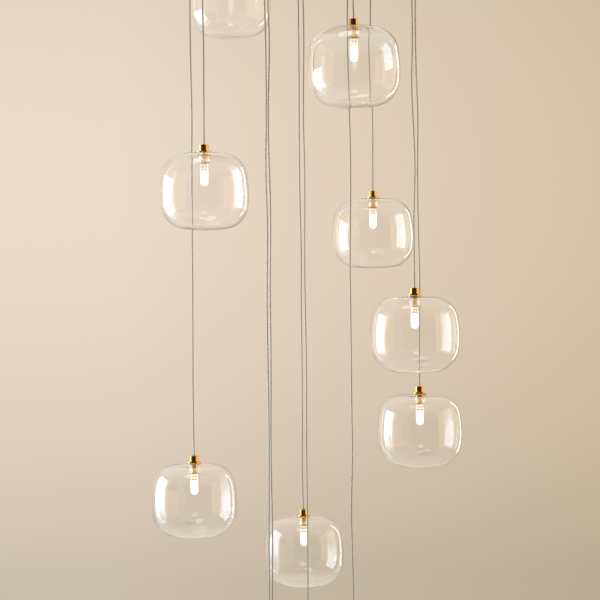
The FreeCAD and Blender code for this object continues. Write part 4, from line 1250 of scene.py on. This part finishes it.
def lamp_glass():
    """Clear hard glass, with a painted glow: an emission that stands for the tube's light
    carried up into the pinch and its edges.
    """
    material, tree, shader = new_material(
        "lamp_glass", Transmission_Weight=1.0, IOR=1.47, Emission_Strength=ENVELOPE_GLOW
    )
    marks = place_group(tree, HANDLING, (-4, 0), Size=120.0)
    tone = mix(tree, (-2, 0), (0.99, 0.985, 0.97), (0.96, 0.95, 0.93))
    dull = add_node(tree, "MapRange", (-2, 1), To_Min=0.01, To_Max=0.06)
    place = add_node(tree, "TexCoord", (-5, 3))
    height = add_node(tree, "SeparateXYZ", (-4, 3))
    level = ramp(tree, (-3, 3), shoulder - 0.008, shoulder + 0.002)
    # Painted glow: the tube's light carried up the glass, dimmed towards the edges and the tip.
    painted_glow_carried = mix(tree, (-2, 3), (0.105, 0.088, 0.062), (0.100, 0.090, 0.072))
    edge = add_node(tree, "LayerWeight", (-2, 5), Blend=0.5)
    faded = mix(tree, (-1, 4), None, (0.020, 0.013, 0.006))
    tip = ramp(tree, (-3, 6), lamp_tip, lamp_tip + 0.011, To_Min=0.85, To_Max=0.0)
    dimmed = add_node(tree, "Math", (-2, 6), operation="MAXIMUM")
    link(
        tree,
        (marks, "Smudge", tone, 0),
        (marks, "Smudge", dull, "Value"),
        (place, "Object", height, 0),
        (height, "Z", level, "Value"),
        (level, "Result", painted_glow_carried, 0),
        (painted_glow_carried, 2, faded, 6),
        (height, "Z", tip, "Value"),
        (tip, "Result", dimmed, 0),
        (edge, "Facing", dimmed, 1),
        (dimmed, 0, faded, 0),
        (faded, 2, shader, "Emission Color"),
    )
    surface(tree, shader, tone, dull)
    return material


def tube_material():
    """Frosted and lit from within: white-hot in the middle, amber where it curves away."""
    material, tree, shader = new_material("lit_tube", Emission_Strength=TUBE_GLOW)
    facing = add_node(tree, "LayerWeight", (-4, 0), Blend=0.35)
    marks = place_group(tree, HANDLING, (-4, 2), Size=300.0)
    colour = mix(tree, (-2, 0), (1.0, 0.92, 0.76), (0.62, 0.40, 0.20))
    frost = add_node(tree, "MapRange", (-2, 2), To_Min=0.55, To_Max=0.75)
    body = mix(tree, (-2, 3), (0.90, 0.86, 0.78), (0.82, 0.76, 0.66))
    link(
        tree,
        (facing, "Facing", colour, 0),
        (colour, 2, shader, "Emission Color"),
        (marks, "Dust", frost, "Value"),
        (marks, "Smudge", body, 0),
    )
    surface(tree, shader, body, frost)
    return material


def tube_outline():
    """The glowing tube, round at its lower end, up to the bar that holds it."""
    foot = lamp_tip + LAMP_WALL + 0.0012 + TUBE_FOOT_RADIUS
    outline = arc((0.0, foot), TUBE_FOOT_RADIUS, (0.0, 0.0), (1.0, foot), 10)
    top = BAR_LEVEL - 0.0014
    widening = TUBE_RADIUS - TUBE_FOOT_RADIUS
    for step in range(1, 9):
        share = math.sin(math.pi / 2 * step / 8)
        outline.append((TUBE_FOOT_RADIUS + widening * share, foot + TUBE_TAPER * step / 8))
    straight = top - foot - TUBE_TAPER
    outline += [(TUBE_RADIUS, foot + TUBE_TAPER + straight * k / 3) for k in range(1, 4)]
    turn_in = TUBE_RADIUS - TUBE_END_ROUND
    outline += arc((turn_in, top), TUBE_END_ROUND, (1.0, top), (turn_in, 1.0), 5)[1:]
    return outline + [(0.0, top + TUBE_END_ROUND)]


def break_edges(mesh, edges, width):
    """Take the sharpness off some edges."""
    bevel = dict(segments=2, affect="EDGES", clamp_overlap=True)
    bmesh.ops.bevel(mesh, geom=edges, offset=width, **bevel)


def bar_mesh(name, boxes):
    """Small flat bars: (x, z low, z high, half width, half thickness)."""
    mesh = bmesh.new()
    for x, low, high, width, thickness in boxes:
        matrix = Matrix.Translation((x, 0.0, (low + high) / 2))
        matrix = matrix @ Matrix.Diagonal((width * 2, thickness * 2, high - low, 1.0))
        bmesh.ops.create_cube(mesh, size=1.0, matrix=matrix)
    break_edges(mesh, list(mesh.edges), 0.00008)
    return mesh_data(mesh, name)


def pin_mesh():
    """Both pins, rounded at the end that goes into the insert."""
    mesh = bmesh.new()
    for side in (-1, 1):
        bmesh.ops.create_cone(
            mesh,
            cap_ends=True,
            segments=20,
            radius1=PIN_RADIUS,
            radius2=PIN_RADIUS,
            depth=PIN_LENGTH,
            matrix=Matrix.Translation((side * PIN_SPREAD, 0.0, LAMP_TOP + PIN_LENGTH / 2)),
        )
    rims = [edge for edge in mesh.edges if abs(edge.verts[0].co.z - edge.verts[1].co.z) < 1e-6]
    break_edges(mesh, rims, 0.0001)
    for face in mesh.faces:
        face.smooth = True
    return mesh_data(mesh, "lamp_pins")


LEAD_BRASS = turned_metal(
    "lead_brass",
    pale=(0.66, 0.42, 0.15),
    deep=(0.40, 0.23, 0.07),
    lines=1500.0,
    relief_depth=0.00002,
    gloss=(0.25, 0.40),
)
LAMP_PIECES = {
    "lamp_envelope": (turned("lamp_envelope", envelope_outline(), 48), lamp_glass()),
    "lamp_tube": (turned("lamp_tube", tube_outline(), 40), tube_material()),
    "lamp_bar": (
        bar_mesh(
            "lamp_bar",
            [
                (0.0, BAR_LEVEL - 0.0010, BAR_LEVEL + 0.0004, 0.0032, 0.0022),
                (-0.0019, BAR_LEVEL, shoulder + 0.0006, 0.0004, 0.0004),
                (0.0019, BAR_LEVEL, shoulder + 0.0006, 0.0004, 0.0004),
                (-PIN_SPREAD, LAMP_TOP - 0.0050, LAMP_TOP - 0.0034, 0.0006, 0.0002),
                (PIN_SPREAD, LAMP_TOP - 0.0050, LAMP_TOP - 0.0034, 0.0006, 0.0002),
            ],
        ),
        LEAD_BRASS,
    ),
    "lamp_pins": (pin_mesh(), STEEL_SCREW),
}
for drop in DROPS:
    for kind, (data, material) in LAMP_PIECES.items():
        piece = hang(kind, drop, data, material, "lamp")
        piece.visible_shadow = kind != "lamp_envelope"
